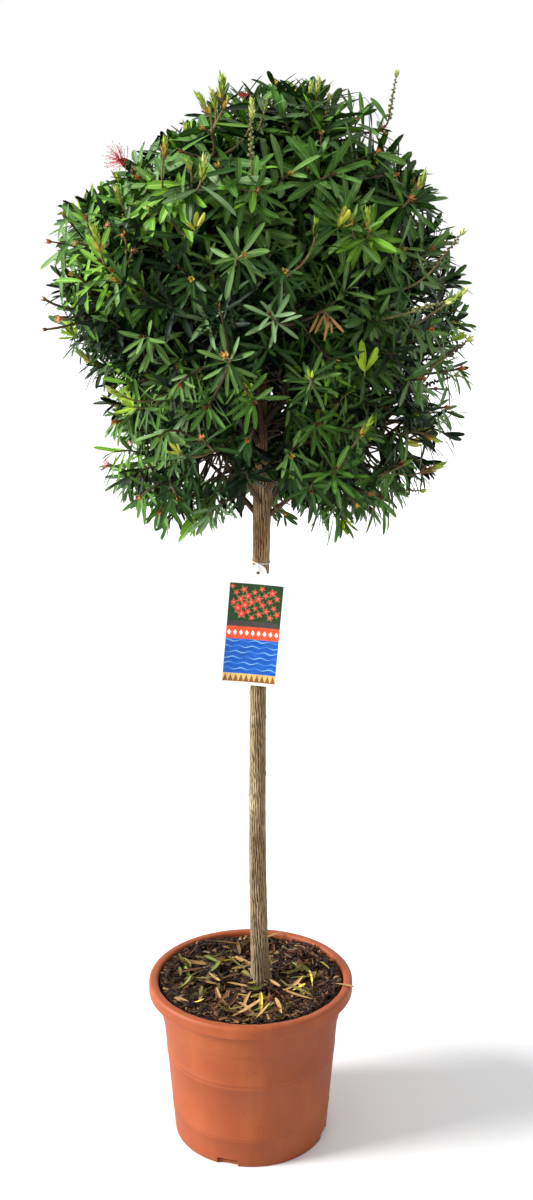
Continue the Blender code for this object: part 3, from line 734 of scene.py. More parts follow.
def makeChips():
    draw = random.Random(mulch["seed"])
    heaps = {name: [] for name in mulch["colours"]}
    for i in range(mulch["chips"] + mulch["crumbs"]):
        crumb = i >= mulch["chips"]
        length = draw.uniform(0.002, 0.006) if crumb else mix(*mulch["chipLength"], draw.random() ** 1.7)
        out = (mulch["radius"] - length * 0.45) * math.sqrt(draw.random())
        angle = draw.uniform(0, math.tau)
        x, y = out * math.cos(angle), out * math.sin(angle)
        if math.hypot(x - 0.016, y - 0.010) < 0.017 + length * 0.35:
            continue
        rise = mulch["heap"] * draw.random() ** 0.8
        middle = Vector((x, y, bedHeight(x, y) + 0.0008 + rise))
        heaps[dealt(draw, mulch["colours"])].append(chipPoints(draw, middle, length))
    for name, chips in heaps.items():
        points = np.array([[tuple(p) for p in chip] for chip in chips]).reshape(-1, 3)
        material = chipBark(name, tint(*mulch["colours"][name][0]))
        quads = repeated(chipQuads, len(chips), 12)
        finishPiece(joinedMesh(name, points, quads, [], [material], smooth=False), "compost")


def makeFallenLeaves():
    draw = random.Random(mulch["seed"] + 1)
    heaps = {name: [] for name in mulch["leafColours"]}
    for i in range(mulch["leaves"] + mulch["clusterLeaves"]):
        length = draw.uniform(0.022, 0.056)
        if i < mulch["clusterLeaves"]:
            x = mulch["cluster"][0] + draw.gauss(0, 0.026)
            y = mulch["cluster"][1] + draw.gauss(0, 0.013)
        else:
            out, angle = 0.128 * math.sqrt(draw.random()), draw.uniform(0, math.tau)
            x, y = out * math.cos(angle), out * math.sin(angle)
        heading, pitch = draw.uniform(0, math.tau), draw.gauss(0.02, 0.13)
        along = Vector((math.cos(heading), math.sin(heading), pitch)).normalized()
        tipX, tipY = x + along.x * length, y + along.y * length
        if math.hypot(tipX, tipY) > 0.142 or math.hypot(x, y) > 0.140:
            along.x, along.y = -along.x, -along.y
        if math.hypot(x + along.x * length / 2 - 0.016, y + along.y * length / 2 - 0.010) < 0.022:
            continue
        roll = draw.gauss(0, 0.55)
        across = along.cross(up).normalized()
        face = (across.cross(along) * math.cos(roll) + across * math.sin(roll)).normalized()
        root = Vector((x, y, bedHeight(x, y) + draw.uniform(0.0062, 0.0098)))
        blade = (root, along, face, length, draw.uniform(0.0038, 0.0074),
                 draw.uniform(-0.26, 0.16), draw.uniform(0.0, 1.1), draw.gauss(0, 0.20))
        heaps[dealt(draw, mulch["leafColours"])].append(blade)
    # one dry leaf has blown out onto the lip at the right
    lipLeaf = Vector((0.132, -0.030, pot["height"] + 0.0012))
    ahead = Vector((0.93, -0.36, 0.04)).normalized()
    heaps["fallen_tan"].append((lipLeaf, ahead, up, 0.031, 0.0058, 0.12, 0.4, 0.1))
    for name, blades in heaps.items():
        colour = tint(*mulch["leafColours"][name][0])
        skin, rib = plainSkin(name, colour, 0.62), plainSkin(name + "_rib", shaded(colour, 1.35), 0.62)
        finishPiece(bladeMesh(name, blades, [skin, rib]), "compost")


# Stem: the trunk with its leader, and the sawn stub beside it

stem = {
    "x": 0.016,
    "y": 0.010,
    "foot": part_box("soil")[1].z,
    "flareRadius": 0.0178,
    "flareHeight": 0.045,
    "footRadius": 0.0138,
    "midRadius": 0.0120,
    "headRadius": 0.0140,
    "sway": 0.006,
    "lean": 0.009,
    "head": 1.070,
    "leaderFoot": 0.0082,
    "leaderTip": 0.0040,
    "tip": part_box("trunk")[1].z,
    "leaderStep": Vector((-0.003, 0.003, 0.0)),
    "sides": 96,
    "rows": 400,
    "fissures": 10,  # on each of two crossing families, twice round
    "fissureDepth": 0.0012,
    "plate": 0.036,  # height of a plate of bark between two crossings
    "knobs": 22,
    "seed": 21,
}
stub = {
    "radius": 0.0082,
    "length": 0.026,
    "foot": 1.050,
    "azimuth": math.radians(-76.0),
    "slope": math.radians(66.0),
    "cutTilt": math.radians(-24.0),  # the saw cut faces the front
}


def stemPoint(height):
    share = (height - stem["foot"]) / (stem["head"] - stem["foot"])
    bend = math.sin(math.pi * within(share) ** 0.8)
    point = Vector((stem["x"] + stem["lean"] * share**2 * 0.5 - stem["sway"] * bend, stem["y"], height))
    return point + stem["leaderStep"] * within((height - stem["head"]) / 0.02)


def stemRadius(height):
    share = (height - stem["foot"]) / (stem["head"] - stem["foot"])
    if share > 1.0:
        above = (height - stem["head"]) / (stem["tip"] - stem["head"])
        leader = mix(stem["leaderFoot"], stem["leaderTip"], above)
        return mix(stem["headRadius"], leader, within((height - stem["head"]) / 0.012) ** 0.7)
    radius = mix(stem["footRadius"], stem["midRadius"], min(share * 2.0, 1.0))
    radius += (stem["headRadius"] - stem["midRadius"]) * max(share * 4.0 - 3.0, 0.0) ** 2
    flare = within(1.0 - (height - stem["foot"]) / stem["flareHeight"])
    return radius + (stem["flareRadius"] - stem["footRadius"]) * flare**2


def drift(angle, height, draw, waves=4, pitch=22.0):
    # a smooth field of random waves that closes round the stem
    total = np.zeros_like(angle)
    for _ in range(waves):
        turns, rise = draw.choice((1, 2, 3)), draw.uniform(-pitch, pitch)
        total += np.sin(turns * angle + rise * height + draw.uniform(0, math.tau))
    return total / waves


def fissured(angle, height):
    # 0 on the ridges of the bark and 1 in its fissures, which cross and part again
    draw = random.Random(stem["seed"])
    climb = math.pi / stem["plate"]
    families = []
    for way in (1.0, -1.0):
        phase = stem["fissures"] * angle + way * climb * height * 0.5
        phase += 1.5 * drift(angle, height, draw) + 1.1 * drift(angle, height, draw, 5, 90.0)
        families.append(np.abs(np.sin(phase)))
    near = np.minimum(families[0] + 0.22 * drift(angle, height, draw, 4, 60.0), families[1])
    return 1.0 - np.clip(near / 0.42, 0, 1) ** 1.4


def makeStem(bark):
    deselectAll()
    bpy.ops.mesh.primitive_cylinder_add(
        vertices=stem["sides"], radius=1.0, depth=1.0, end_fill_type="NGON", location=(0, 0, 0.5)
    )
    trunk = bpy.context.object
    trunk.name = "stem"
    bpy.ops.object.transform_apply(location=True)
    bpy.ops.object.mode_set(mode="EDIT")
    bpy.ops.mesh.select_mode(type="EDGE")
    cuts = 20
    for count in (cuts - 1, stem["rows"] // cuts - 1):
        bpy.ops.mesh.select_all(action="DESELECT")
        bpy.ops.object.mode_set(mode="OBJECT")
        for edge in trunk.data.edges:
            a, b = (trunk.data.vertices[i].co for i in edge.vertices)
            edge.select = abs(a.z - b.z) > 1e-4
        bpy.ops.object.mode_set(mode="EDIT")
        bpy.ops.mesh.subdivide(number_cuts=count)
    bpy.ops.object.mode_set(mode="OBJECT")
    points = readPoints(trunk)
    angle = np.arctan2(points[:, 1], points[:, 0])
    low = stem["foot"] - 0.006
    height = low + (stem["tip"] - low) * points[:, 2]
    levels, index = np.unique(np.round(height, 6), return_inverse=True)
    middles = np.array([tuple(stemPoint(h)) for h in levels])[index]
    radius = np.array([stemRadius(h) for h in levels])[index]
    furrow = fissured(angle, height)
    depth = stem["fissureDepth"] * np.clip(radius / 0.012, 0.25, 1.2)
    draw = random.Random(stem["seed"] + 1)
    rough = 0.00035 * drift(angle, height, draw, 6, 400.0) + 0.0006 * drift(angle, height, draw, 4, 50.0)
    radius = radius + 0.0004 - depth * furrow + rough * np.clip(radius / 0.012, 0.4, 1)
    flare = np.clip(1 - (height - stem["foot"]) / (stem["flareHeight"] * 1.6), 0, 1)
    radius *= 1 + 0.09 * flare * np.sin(3 * angle + 0.8) + 0.05 * flare * np.sin(5 * angle)
    for _ in range(stem["knobs"]):
        # small knobs where side shoots were rubbed off
        at, level, size = draw.uniform(-math.pi, math.pi), draw.uniform(0.28, 1.06), draw.uniform(0.5, 1.0)
        turn = np.angle(np.exp(1j * (angle - at))) * 0.0125
        away = (turn / (0.0030 * size)) ** 2 + ((height - level) / (0.0042 * size)) ** 2
        radius = radius + 0.0019 * size * np.exp(-away)
    points[:, 0] = middles[:, 0] + radius * np.cos(angle)
    points[:, 1] = middles[:, 1] + radius * np.sin(angle)
    points[:, 2] = height
    writePoints(trunk, points)
    trunk.data.attributes.new("furrow", "FLOAT", "POINT").data.foreach_set("value", furrow.astype(np.float32))
    trunk.data.materials.append(bark)
    smoothPiece(trunk, 70.0)
    return finishPiece(trunk, "bark", "trunk")


def makeStub(bark):
    # the sawn end where the young stem was topped
    out = Vector((math.cos(stub["azimuth"]), math.sin(stub["azimuth"]), 0.0))
    slope = out * math.cos(stub["slope"]) + up * math.sin(stub["slope"])
    foot = stemPoint(stub["foot"]) + out * stub["radius"] * 0.7
    deselectAll()
    bpy.ops.mesh.primitive_circle_add(vertices=40, radius=stub["radius"], fill_type="NGON")
    piece = bpy.context.object
    piece.name = "sawn_stub"
    bpy.ops.object.mode_set(mode="EDIT")
    bpy.ops.mesh.select_all(action="SELECT")
    rings = 12
    for i in range(rings):
        bpy.ops.mesh.extrude_region_move(TRANSFORM_OT_translate={"value": (0, 0, stub["length"] / rings)})
    bpy.ops.mesh.inset(thickness=stub["radius"] * 0.12)
    bpy.ops.transform.translate(value=(0, 0, -0.0003))
    bpy.ops.mesh.inset(thickness=stub["radius"] * 0.45)
    bpy.ops.mesh.select_all(action="SELECT")
    bpy.ops.mesh.normals_make_consistent(inside=False)
    bpy.ops.object.mode_set(mode="OBJECT")
    points = readPoints(piece)
    draw = random.Random(stem["seed"] + 2)
    angle = np.arctan2(points[:, 1], points[:, 0])
    side = np.hypot(points[:, 0], points[:, 1]) > stub["radius"] * 0.95
    rough = 0.0006 * drift(angle, points[:, 2], draw, 6, 260.0)
    points[side, 0] += rough[side] * np.cos(angle[side])
    points[side, 1] += rough[side] * np.sin(angle[side])
    furrow = np.clip(0.5 - rough * 900, 0, 1)
    writePoints(piece, points)
    piece.data.attributes.new("furrow", "FLOAT", "POINT").data.foreach_set("value", furrow.astype(np.float32))
    piece.data.materials.append(bark)
    piece.data.materials.append(sawnWood())
    for face in piece.data.polygons:
        if face.center.z > stub["length"] - 0.0008 and face.normal.z > 0.7:
            face.material_index = 1
    # the cut slants across the end, so the upper rings lean over
    height = points[:, 2] / stub["length"]
    points[:, 2] += points[:, 1] * math.tan(stub["cutTilt"]) * np.clip(height, 0, 1)
    writePoints(piece, points)
    across = out.cross(slope).normalized()
    turn = Matrix((across, slope.cross(across), slope)).transposed().to_4x4()
    piece.data.transform(Matrix.Translation(foot) @ turn)
    smoothPiece(piece, 50.0)
    return finishPiece(piece, "bark")


# Hang tag and its string

tag = {
    "width": 0.082,
    "height": 0.172,
    "thick": 0.0009,
    "top": Vector((0.0124, -0.0060, 0.9105)),  # the middle of its upper edge, where the hole is
    "turn": math.radians(5.0),
    "corner": 0.005,
    "tab": 0.0125,
    "hole": 0.0026,
    "curl": 0.0022,  # how far its long edges stand forward
    "margin": 0.0016,
    # the printed bands, each from and to a share of the height down from the top
    "bands": {
        "print_green": (0.100, 0.430, (36, 60, 32)),
        "print_slate": (0.430, 0.480, (66, 62, 58)),
        "print_coral": (0.480, 0.590, (222, 78, 44)),
        "print_blue": (0.590, 0.900, (22, 88, 178)),
        "print_sand": (0.900, 0.975, (206, 170, 104)),
    },
    "inks": {
        "print_red": (212, 62, 54),
        "print_rose": (230, 126, 112),
        "print_leaf": (112, 146, 70),
        "print_pale": (134, 180, 218),
        "print_deep": (16, 62, 136),
        "print_white": (234, 232, 226),
        "print_brown": (128, 84, 48),
    },
    "blossoms": 26,
    "blossomRadius": (0.0034, 0.0060),
    "waves": 6,
    "waveHeight": 0.0024,
    "diamonds": 9,
    "peaks": 10,
}
string = {
    "radius": 0.0007,
    "height": 0.926,
    "dip": 0.0030,  # the ring hangs lower at the front
    "clear": 0.0013,  # from the stem's bark
}


def tagPlace(x, z, lift=0.0):
    # a place on the card's front, from its own x and z
    bulge = -tag["curl"] * (x / (tag["width"] / 2)) ** 2
    return tag["top"] + Matrix.Rotation(tag["turn"], 3, "Y") @ Vector((x, bulge - lift, z))


def printInk(name, colour):
    finish = Finish(name, colour, 0.32)
    finish.colour(finish.ramp(
        finish.noise(95.0, 2.0), (0.3, shaded(colour, 0.86)), (0.7, shaded(colour, 1.12))
    ))
    return finish.material


def bisectCard(card, place, normal):
    bpy.ops.mesh.select_all(action="SELECT")
    bpy.ops.mesh.bisect(plane_co=place, plane_no=normal)


def makeTag():
    half, high, thick = tag["width"] / 2, tag["height"], tag["thick"]
    deselectAll()
    bpy.ops.mesh.primitive_cube_add(size=1.0, location=(0, 0, -high / 2))
    card = bpy.context.object
    card.name = "tag_card"
    card.scale = (tag["width"], thick, high)
    bpy.ops.object.transform_apply(location=True, scale=True)
    bpy.ops.object.mode_set(mode="EDIT")
    bpy.ops.mesh.select_mode(type="EDGE")
    bpy.ops.mesh.select_all(action="DESELECT")
    bpy.ops.object.mode_set(mode="OBJECT")
    for edge in card.data.edges:
        a, b = (card.data.vertices[i].co for i in edge.vertices)
        edge.select = abs(a.y - b.y) > thick / 2
    bpy.ops.object.mode_set(mode="EDIT")
    bpy.ops.mesh.bevel(offset=tag["corner"], segments=8)
    bpy.ops.object.mode_set(mode="OBJECT")
    for operation, radius, depth in (("UNION", tag["tab"], thick), ("DIFFERENCE", tag["hole"], thick * 4)):
        deselectAll()
        bpy.ops.mesh.primitive_cylinder_add(
            vertices=48, radius=radius, depth=depth, rotation=(math.radians(90), 0, 0)
        )
        other = bpy.context.object
        bpy.ops.object.transform_apply(rotation=True)
        deselectAll()
        card.select_set(True)
        bpy.context.view_layer.objects.active = card
        change = card.modifiers.new("shape", "BOOLEAN")
        change.operation = operation
        change.object = other
        bpy.ops.object.modifier_apply(modifier="shape")
        bpy.data.objects.remove(other)
    edges = sorted({share for low, top, _ in tag["bands"].values() for share in (low, top)})
    bpy.ops.object.mode_set(mode="EDIT")
    for share in edges:
        bisectCard(card, (0, 0, -high * share), (0, 0, 1))
    for x in [half - tag["margin"], tag["margin"] - half] + [mix(-half, half, i / 10) for i in range(1, 10)]:
        bisectCard(card, (x, 0, 0), (1, 0, 0))
    bpy.ops.object.mode_set(mode="OBJECT")
    paper = Finish("tag_paper", tint(226, 226, 224), 0.38)
    paper.colour(paper.ramp(paper.noise(40.0), (0.3, tint(220, 220, 218)), (0.7, tint(230, 230, 228))))
    card.data.materials.append(paper.material)
    for name, (_, _, colour) in tag["bands"].items():
        card.data.materials.append(printInk(name, tint(*colour)))
    for face in card.data.polygons:
        share = -face.center.z / high
        inside = abs(face.center.x) < half - tag["margin"]
        for i, (low, top, _) in enumerate(tag["bands"].values()):
            if face.normal.y < -0.9 and inside and low < share < top:
                face.material_index = i + 1
    points = readPoints(card)
    placed = [tagPlace(x, z, -y) for x, y, z in points]
    writePoints(card, np.array([tuple(p) for p in placed]))
    finishPiece(card, "card", "tag")
    makePrint()


class Print:
    # flat printed shapes in one ink, a hair in front of the card

    def __init__(self, lift):
        self.lift = tag["thick"] / 2 + lift
        self.points = []
        self.tris = []

    def fan(self, x, z, rim):
        # a shape round a middle, from the places of its rim
        first = len(self.points)
        self.points.append(tagPlace(x, z, self.lift))
        for across, rise in rim:
            self.points.append(tagPlace(x + across, z + rise, self.lift))
        for k in range(len(rim)):
            self.tris.append((first, first + 1 + k, first + 1 + (k + 1) % len(rim)))

    def make(self, name, ink):
        points = [tuple(p) for p in self.points]
        colour = tint(*tag["inks"][ink])
        finishPiece(joinedMesh(name, points, [], self.tris, [printInk(ink, colour)]), "card")


def petals(radius, count, notch, turn):
    steps = count * 4
    rim = []
    for k in range(steps):
        angle = turn + math.tau * k / steps
        reach = radius * mix(notch, 1.0, abs(math.sin(count * (angle - turn) / 2)))
        rim.append((reach * math.cos(angle), reach * math.sin(angle)))
    return rim


def sliver(length, width, turn):
    rim = []
    for across, rise in ((-0.5, 0.0), (0.0, -0.5), (0.5, 0.0), (0.0, 0.5)):
        x, z = across * length, rise * width
        rim.append((x * math.cos(turn) - z * math.sin(turn), x * math.sin(turn) + z * math.cos(turn)))
    return rim


def makePrint():
    # a generic print: round blossoms among leaves, a row of diamonds, waves and a row of peaks
    draw = random.Random(31)
    half, high = tag["width"] / 2 - tag["margin"], tag["height"]
    low, top, _ = tag["bands"]["print_green"]
    leaves, blossoms, middles = Print(0.00010), Print(0.00022), Print(0.00034)
    for i in range(tag["blossoms"]):
        # an even spread by the golden ratio, nudged a little
        radius = mix(*tag["blossomRadius"], draw.random())
        across = ((i * 0.618) % 1.0 * 2 - 1) * (half - radius - 0.0004)
        z = -mix(low * high + radius + 0.0006, top * high - radius - 0.0006, (i + 0.5) / tag["blossoms"])
        for k in range(5):
            turn = math.tau * k / 5 + i
            x, rise = radius * 1.05 * math.cos(turn), radius * 1.05 * math.sin(turn)
            inside = abs(across + x) < half - 0.003 and low * high + 0.003 < -(z + rise) < top * high - 0.003
            if inside:
                leaves.fan(across + x, z + rise, sliver(radius * 1.1, radius * 0.34, turn))
        blossoms.fan(across, z, petals(radius, 11, 0.62, i * 0.7))
        middles.fan(across, z, petals(radius * 0.42, 7, 0.5, i * 1.1))
    leaves.make("tag_leaves", "print_leaf")
    blossoms.make("tag_blossoms", "print_red")
    middles.make("tag_middles", "print_rose")
    low, top, _ = tag["bands"]["print_coral"]
    diamonds = Print(0.00012)
    for i in range(tag["diamonds"]):
        x = mix(-half, half, (i + 0.5) / tag["diamonds"])
        diamonds.fan(x, -high * mix(low, top, 0.5), sliver(0.0058, 0.0086, 0.0))
    diamonds.make("tag_diamonds", "print_white")
    low, top, _ = tag["bands"]["print_sand"]
    peaks = Print(0.00012)
    step = 2 * half / tag["peaks"]
    for i in range(tag["peaks"]):
        x, foot = mix(-half, half, (i + 0.5) / tag["peaks"]), -high * top + 0.0004
        rise = high * (top - low) - 0.0016
        peaks.fan(x, foot + rise / 3, [(-step / 2, -rise / 3), (step / 2, -rise / 3), (0.0, rise * 2 / 3)])
    peaks.make("tag_peaks", "print_brown")
    low, top, _ = tag["bands"]["print_blue"]
    for name, ink, odd in (("tag_waves", "print_pale", 0), ("tag_swells", "print_deep", 1)):
        points, quads = [], []
        for row in range(tag["waves"]):
            z = -high * mix(low, top, (row + 0.35 + 0.45 * odd) / (tag["waves"] + 0.2))
            first = len(points)
            for i in range(81):
                x = mix(0.0006 - half, half - 0.0006, i / 80)
                level = z + tag["waveHeight"] * 0.55 * math.sin(x * 300.0 + row * 1.1 + odd)
                thick = tag["waveHeight"] * (0.30 + 0.22 * math.sin(x * 150.0 + row * 2.0))
                for edge in (-0.5, 0.5):
                    points.append(tagPlace(x, level + edge * thick, tag["thick"] / 2 + 0.00012))
                if i < 80:
                    a = first + 2 * i
                    quads.append((a, a + 2, a + 3, a + 1))
        material = printInk(ink, tint(*tag["inks"][ink]))
        finishPiece(joinedMesh(name, [tuple(p) for p in points], quads, [], [material]), "card")


def makeString():
    # a ring round the stem, a link down to the hole, a small knot and two loose ends
    limbs = []
    middle = stemPoint(string["height"])
    around = stemRadius(string["height"]) + string["clear"]
    ring = []
    for i in range(41):
        turn = math.radians(-90.0) + math.tau * i / 40
        drop = string["dip"] * (0.5 - 0.5 * math.sin(turn)) + 0.0012 * math.cos(turn)
        ring.append(middle + Vector((around * math.cos(turn), around * math.sin(turn), -drop)))
    limbs.append((ring, [string["radius"]] * len(ring)))
    knot = Vector((tag["top"].x, ring[0].y - 0.0012, string["height"] - string["dip"]))
    hole = Vector((tag["top"].x, tag["top"].y, tag["top"].z + tag["hole"] * 0.55))
    centre = mix(knot, hole, 0.5)
    reach = (knot - hole).length / 2
    axis = (knot - hole).normalized()
    loop = []
    for i in range(25):
        turn = math.tau * i / 24
        loop.append(centre + axis * reach * math.cos(turn) + Vector((0.0, 0.0021, 0.0)) * math.sin(turn))
    limbs.append((loop, [string["radius"] * 0.9] * len(loop)))
    for across, drop in ((0.0065, 0.0045), (-0.0075, 0.0020)):
        end = knot + Vector((across, -0.0022, -drop))
        loose = bow(knot, mix(knot, end, 0.5) + up * 0.002, end, 7)
        limbs.append((loose, [string["radius"] * 0.85] * len(loose)))
    finish = Finish("cotton_string", tint(222, 218, 208), 0.85)
    finish.colour(finish.ramp(finish.noise(900.0), (0.3, tint(196, 190, 178)), (0.7, tint(232, 229, 220))))
    finish.bump(finish.noise(1500.0, 2.0), 0.0002)
    twine = tubeMesh("tag_string", limbs, 8, finish.material, 0.05, 8)
    finishPiece(twine, "string", "tie")
    knotted = beadMesh("string_knot", [(knot, Vector((1, 0, 0)), 0.0017, 0.0019)], finish.material)
    finishPiece(knotted, "string")


# Crown: rings of leafy balls round the stem's line. Where two balls meet, a plane parts them.

crown = {
    "seed": 11,
    "margin": 0.0008,
    "bareLow": 0.052,
    "bareHigh": 0.012,
    "hollow": Vector((0.021, -0.130, 1.100)),  # the opening at the front, where the stem's head shows
    "hollowReach": Vector((0.030, 0.170, 0.085)),
    "leafyHollow": Vector((0.028, -0.150, 1.160)),  # what the leaves leave of it, dark and narrow
    "leafyHollowReach": Vector((0.026, 0.175, 0.078)),
    "rings": (
        {
            "name": "low", "count": 6, "first": -8.0, "height": 1.098, "out": 0.142,
            "radius": 0.138, "middleX": 0.044, "root": (0.985, 1.045), "thick": 0.0046,
        },
        {
            "name": "middle", "count": 6, "first": 30.0, "height": 1.275, "out": 0.190,
            "radius": 0.162, "middleX": 0.012, "root": (1.095, 1.140), "thick": 0.0056,
        },
        {
            "name": "high", "count": 5, "first": 36.0, "height": 1.406, "out": 0.144,
            "radius": 0.134, "middleX": 0.014, "root": (1.190, 1.260), "thick": 0.0046,
        },
        {
            "name": "top", "count": 1, "first": 0.0, "height": 1.478, "out": 0.0,
            "radius": 0.134, "middleX": 0.058, "root": None, "thick": None,
        },
    ),
    "boughTaper": 0.66,
    "twigs": 6,
    "twigReach": 0.56,
    "twigTries": (1.0, 0.84, 0.68, 0.52),
    "twigFoot": 0.0024,
}


class Mass:
    # one leafy ball, with the way its bough comes in

    def __init__(self, name, ring, centre, radius, root):
        self.name = name
        self.ring = ring
        self.centre = centre
        self.radius = radius
        self.root = root
        self.nodes = []  # places on its wood that finer twigs may leave
        self.tips = []


def layOutCrown():
    draw = random.Random(crown["seed"])
    masses = []
    for ring in crown["rings"]:
        for i in range(ring["count"]):
            azimuth = math.radians(ring["first"] + 360.0 * i / ring["count"] + draw.uniform(-6.0, 6.0))
            out = ring["out"] * draw.uniform(0.96, 1.04)
            centre = Vector((
                ring["middleX"] + out * math.cos(azimuth),
                stem["y"] + out * math.sin(azimuth),
                ring["height"] + draw.uniform(-0.010, 0.010),
            ))
            radius = ring["radius"] * draw.uniform(0.96, 1.05)
            root = None
            if ring["root"]:
                low, high = ring["root"]
                root = stemPoint(mix(low, high, ((i * 2) % ring["count"]) / ring["count"]))
            name = ring["name"] if ring["count"] == 1 else f"{ring['name']}_{i + 1}"
            masses.append(Mass(name, ring, centre, radius, root))
    return masses


def beyond(mass, other, point):
    # how far the point lies past the plane between two balls
    apart = other.centre - mass.centre
    share = (apart.length_squared + mass.radius**2 - other.radius**2) / (2 * apart.length_squared)
    return (point - mass.centre).dot(apart) / apart.length - share * apart.length


def inCell(mass, masses, point, margin):
    return all(other is mass or beyond(mass, other, point) <= -margin for other in masses)


def inBareMiddle(point, part=1.0):
    share = (point.z - stem["head"]) / (stem["tip"] - stem["head"])
    if share > 1.0:
        return False
    away = point - stemPoint(point.z)
    return math.hypot(away.x, away.y) < part * mix(crown["bareLow"], crown["bareHigh"], max(share, 0.0))


def inHollow(point, kind="leafyHollow"):
    away = point - crown[kind]
    return sum((a / reach) ** 2 for a, reach in zip(away, crown[kind + "Reach"])) < 1.0


def inSpace(mass, masses, point, margin=crown["margin"]):
    if (point - mass.centre).length > mass.radius or inHollow(point, "hollow"):
        return False
    return inCell(mass, masses, point, margin) and not inBareMiddle(point)


def inLeafySpace(mass, masses, point):
    # finer twigs come nearer to the stem than the source's, and hang lower over the hollow's top
    if (point - mass.centre).length > mass.radius or inHollow(point):
        return False
    return inCell(mass, masses, point, -0.002) and not inBareMiddle(point, growth["nearStem"])


def bow(start, bend, end, count):
    points = []
    for i in range(count):
        t = i / (count - 1)
        points.append(mix(mix(start, bend, t), mix(bend, end, t), t))
    return points


def boughWay(mass, masses):
    # the run from the stem to the middle of the mass, and where it enters the mass
    if mass.root is None:
        start = stemPoint(stem["tip"])
        return [start, mix(start, mass.centre, 0.5), mass.centre], 0
    out = mass.centre - mass.root
    flat = Vector((out.x, out.y, 0.0))
    bend = mass.root + flat * 0.42 + up * (out.z * 0.62 - 0.012)
    run = bow(mass.root, bend, mass.centre, 25)
    enter = next(i for i, point in enumerate(run) if inSpace(mass, masses, point, 0.004))
    return run, enter


def thinned(points, count):
    last = len(points) - 1
    return [points[round(last * i / (count - 1))] for i in range(count)]


def spreadWays(count, turn):
    # directions spread evenly over a sphere, by the golden angle
    found = []
    for i in range(count):
        height = 1.0 - (i + 0.5) * 2.0 / count
        across = math.sqrt(1.0 - height * height)
        angle = turn + goldenAngle * i
        found.append(Vector((across * math.cos(angle), across * math.sin(angle), height)))
    return found


# Growth: the source's twigs, then finer twigs to more places in each ball, each ending in a leafy spray

growth = {
    "outer": {"low": 84, "middle": 144, "high": 96, "top": 100},  # sprays tried in a ball of each ring
    "inner": {"low": 36, "middle": 56, "high": 36, "top": 26},
    "outerReach": (0.58, 0.90),
    "innerReach": (0.26, 0.54),
    "scatter": 0.20,  # how far a spray strays from its even place
    "edge": (0.004, 0.036),  # how far inside the outline sprays end, so that it stays uneven
    "overhang": 0.010,  # how far a leaf may pass it
    "underside": {"near": 1.052, "drop": 0.088, "from": 0.050, "over": 0.075, "lobes": 3},
    "clump": 0.30,  # the lower it is, the more the outer sprays stand in clumps with gaps between
    "clumpWaves": Vector((44.0, 38.0, 47.0)),  # a metre
    "apart": 0.042,  # from a featured spray to the next one
    "spare": 0.016,  # how far a leaf's tip may stand out of the balls
    "smallLeaf": {"below": 1.20, "length": (0.034, 0.052), "width": (0.0054, 0.0074)},
    "largeLeaf": {"above": 1.46, "length": (0.052, 0.072), "width": (0.0092, 0.0122)},
    "leaves": (15, 21),
    "leafy": (0.045, 0.085),
    "leanTip": math.radians(24.0),
    "leanFoot": math.radians(78.0),
    "curl": (0.00, 0.16),
    "fold": (0.10, 0.42),
    "sway": 0.10,
    "rise": 0.34,  # how far a spray turns up towards its tip
    "hangBelow": 1.34,  # leaves hang more and more from this height down
    "hangDepth": 0.30,
    "hang": 0.80,
    "middle": Vector((0.020, 0.010, 1.27)),  # the sprays head away from here
    "bareTwigs": 60,
    "nearStem": 0.55,  # leaves come nearer to the stem than the source's, by this share
}

# a blade colour and a paler rib for each green. The shade greens are painted shade, the deep greens also
# serve as painted shade inside the crown, the grey greens are partly paler undersides and partly painted
# sheen, and the fresh greens are partly painted light
leafColours = {
    "leaves_shade": ((14, 32, 10), (28, 47, 20)),
    "leaves_deep": ((33, 61, 21), (58, 84, 40)),
    "leaves_green": ((58, 94, 33), (92, 122, 60)),
    "leaves_mid": ((72, 103, 48), (110, 134, 78)),
    "leaves_grey": ((86, 113, 73), (118, 140, 98)),
    "leaves_fresh": ((84, 127, 34), (124, 156, 64)),
    "leaves_lime": ((136, 164, 40), (162, 182, 78)),
    "leaves_gold": ((150, 150, 54), (172, 166, 84)),
    "leaves_dry": ((136, 104, 62), (160, 130, 86)),
}
scaleColours = {
    "scales_lime": (132, 156, 54),
    "scales_pale": (176, 180, 104),
    "scales_gold": (164, 140, 60),
    "scales_brown": (108, 78, 48),
    "scales_orange": (164, 100, 54),
}
beadColours = {
    "bud_cores": (142, 134, 62),
    "seed_dark": (50, 44, 32),
    "seed_green": (104, 110, 68),
    "knobs_tan": (172, 122, 76),
    "anthers": (120, 34, 34),
}


class Plant:
    # everything that the crown grows, gathered by kind before it is made into meshes

    def __init__(self):
        self.boughs = []
        self.twigs = []
        self.shoots = []
        self.leaves = {name: [] for name in leafColours}
        self.scales = {name: [] for name in scaleColours}
        self.beads = {name: [] for name in beadColours}
        self.stamens = []


def sprayColour(draw, tip, inner):
    # deals a spray its green: darkest inside and under the top as painted shade, fresher high on the left,
    # partly as painted light where the key light falls, greyer low down
    # inner sprays get the darkest greens as painted shade
    if inner:
        return "leaves_shade" if draw.random() < 0.52 else "leaves_deep"
    height = within((tip.z - 1.10) / 0.42)
    left = within(0.5 - tip.x / 0.5)
    band = math.exp(-(((tip.z - 1.25) / 0.11) ** 2))  # painted shade: the crown is darkest under its overhanging top
    shares = {
        "leaves_shade": (None, 0.06 + 0.46 * band),
        # painted light: high on the left there are fewer deep greens and more fresh ones, on the side the key
        # light falls on
        "leaves_deep": (None, 0.24 + 0.16 * band - 0.12 * left * height),
        "leaves_green": (None, 0.22 + 0.12 * height),
        "leaves_mid": (None, 0.18),
        "leaves_grey": (None, 0.16 - 0.10 * height),
        "leaves_fresh": (None, 0.03 + 0.30 * left * height),
    }
    return dealt(draw, shares)


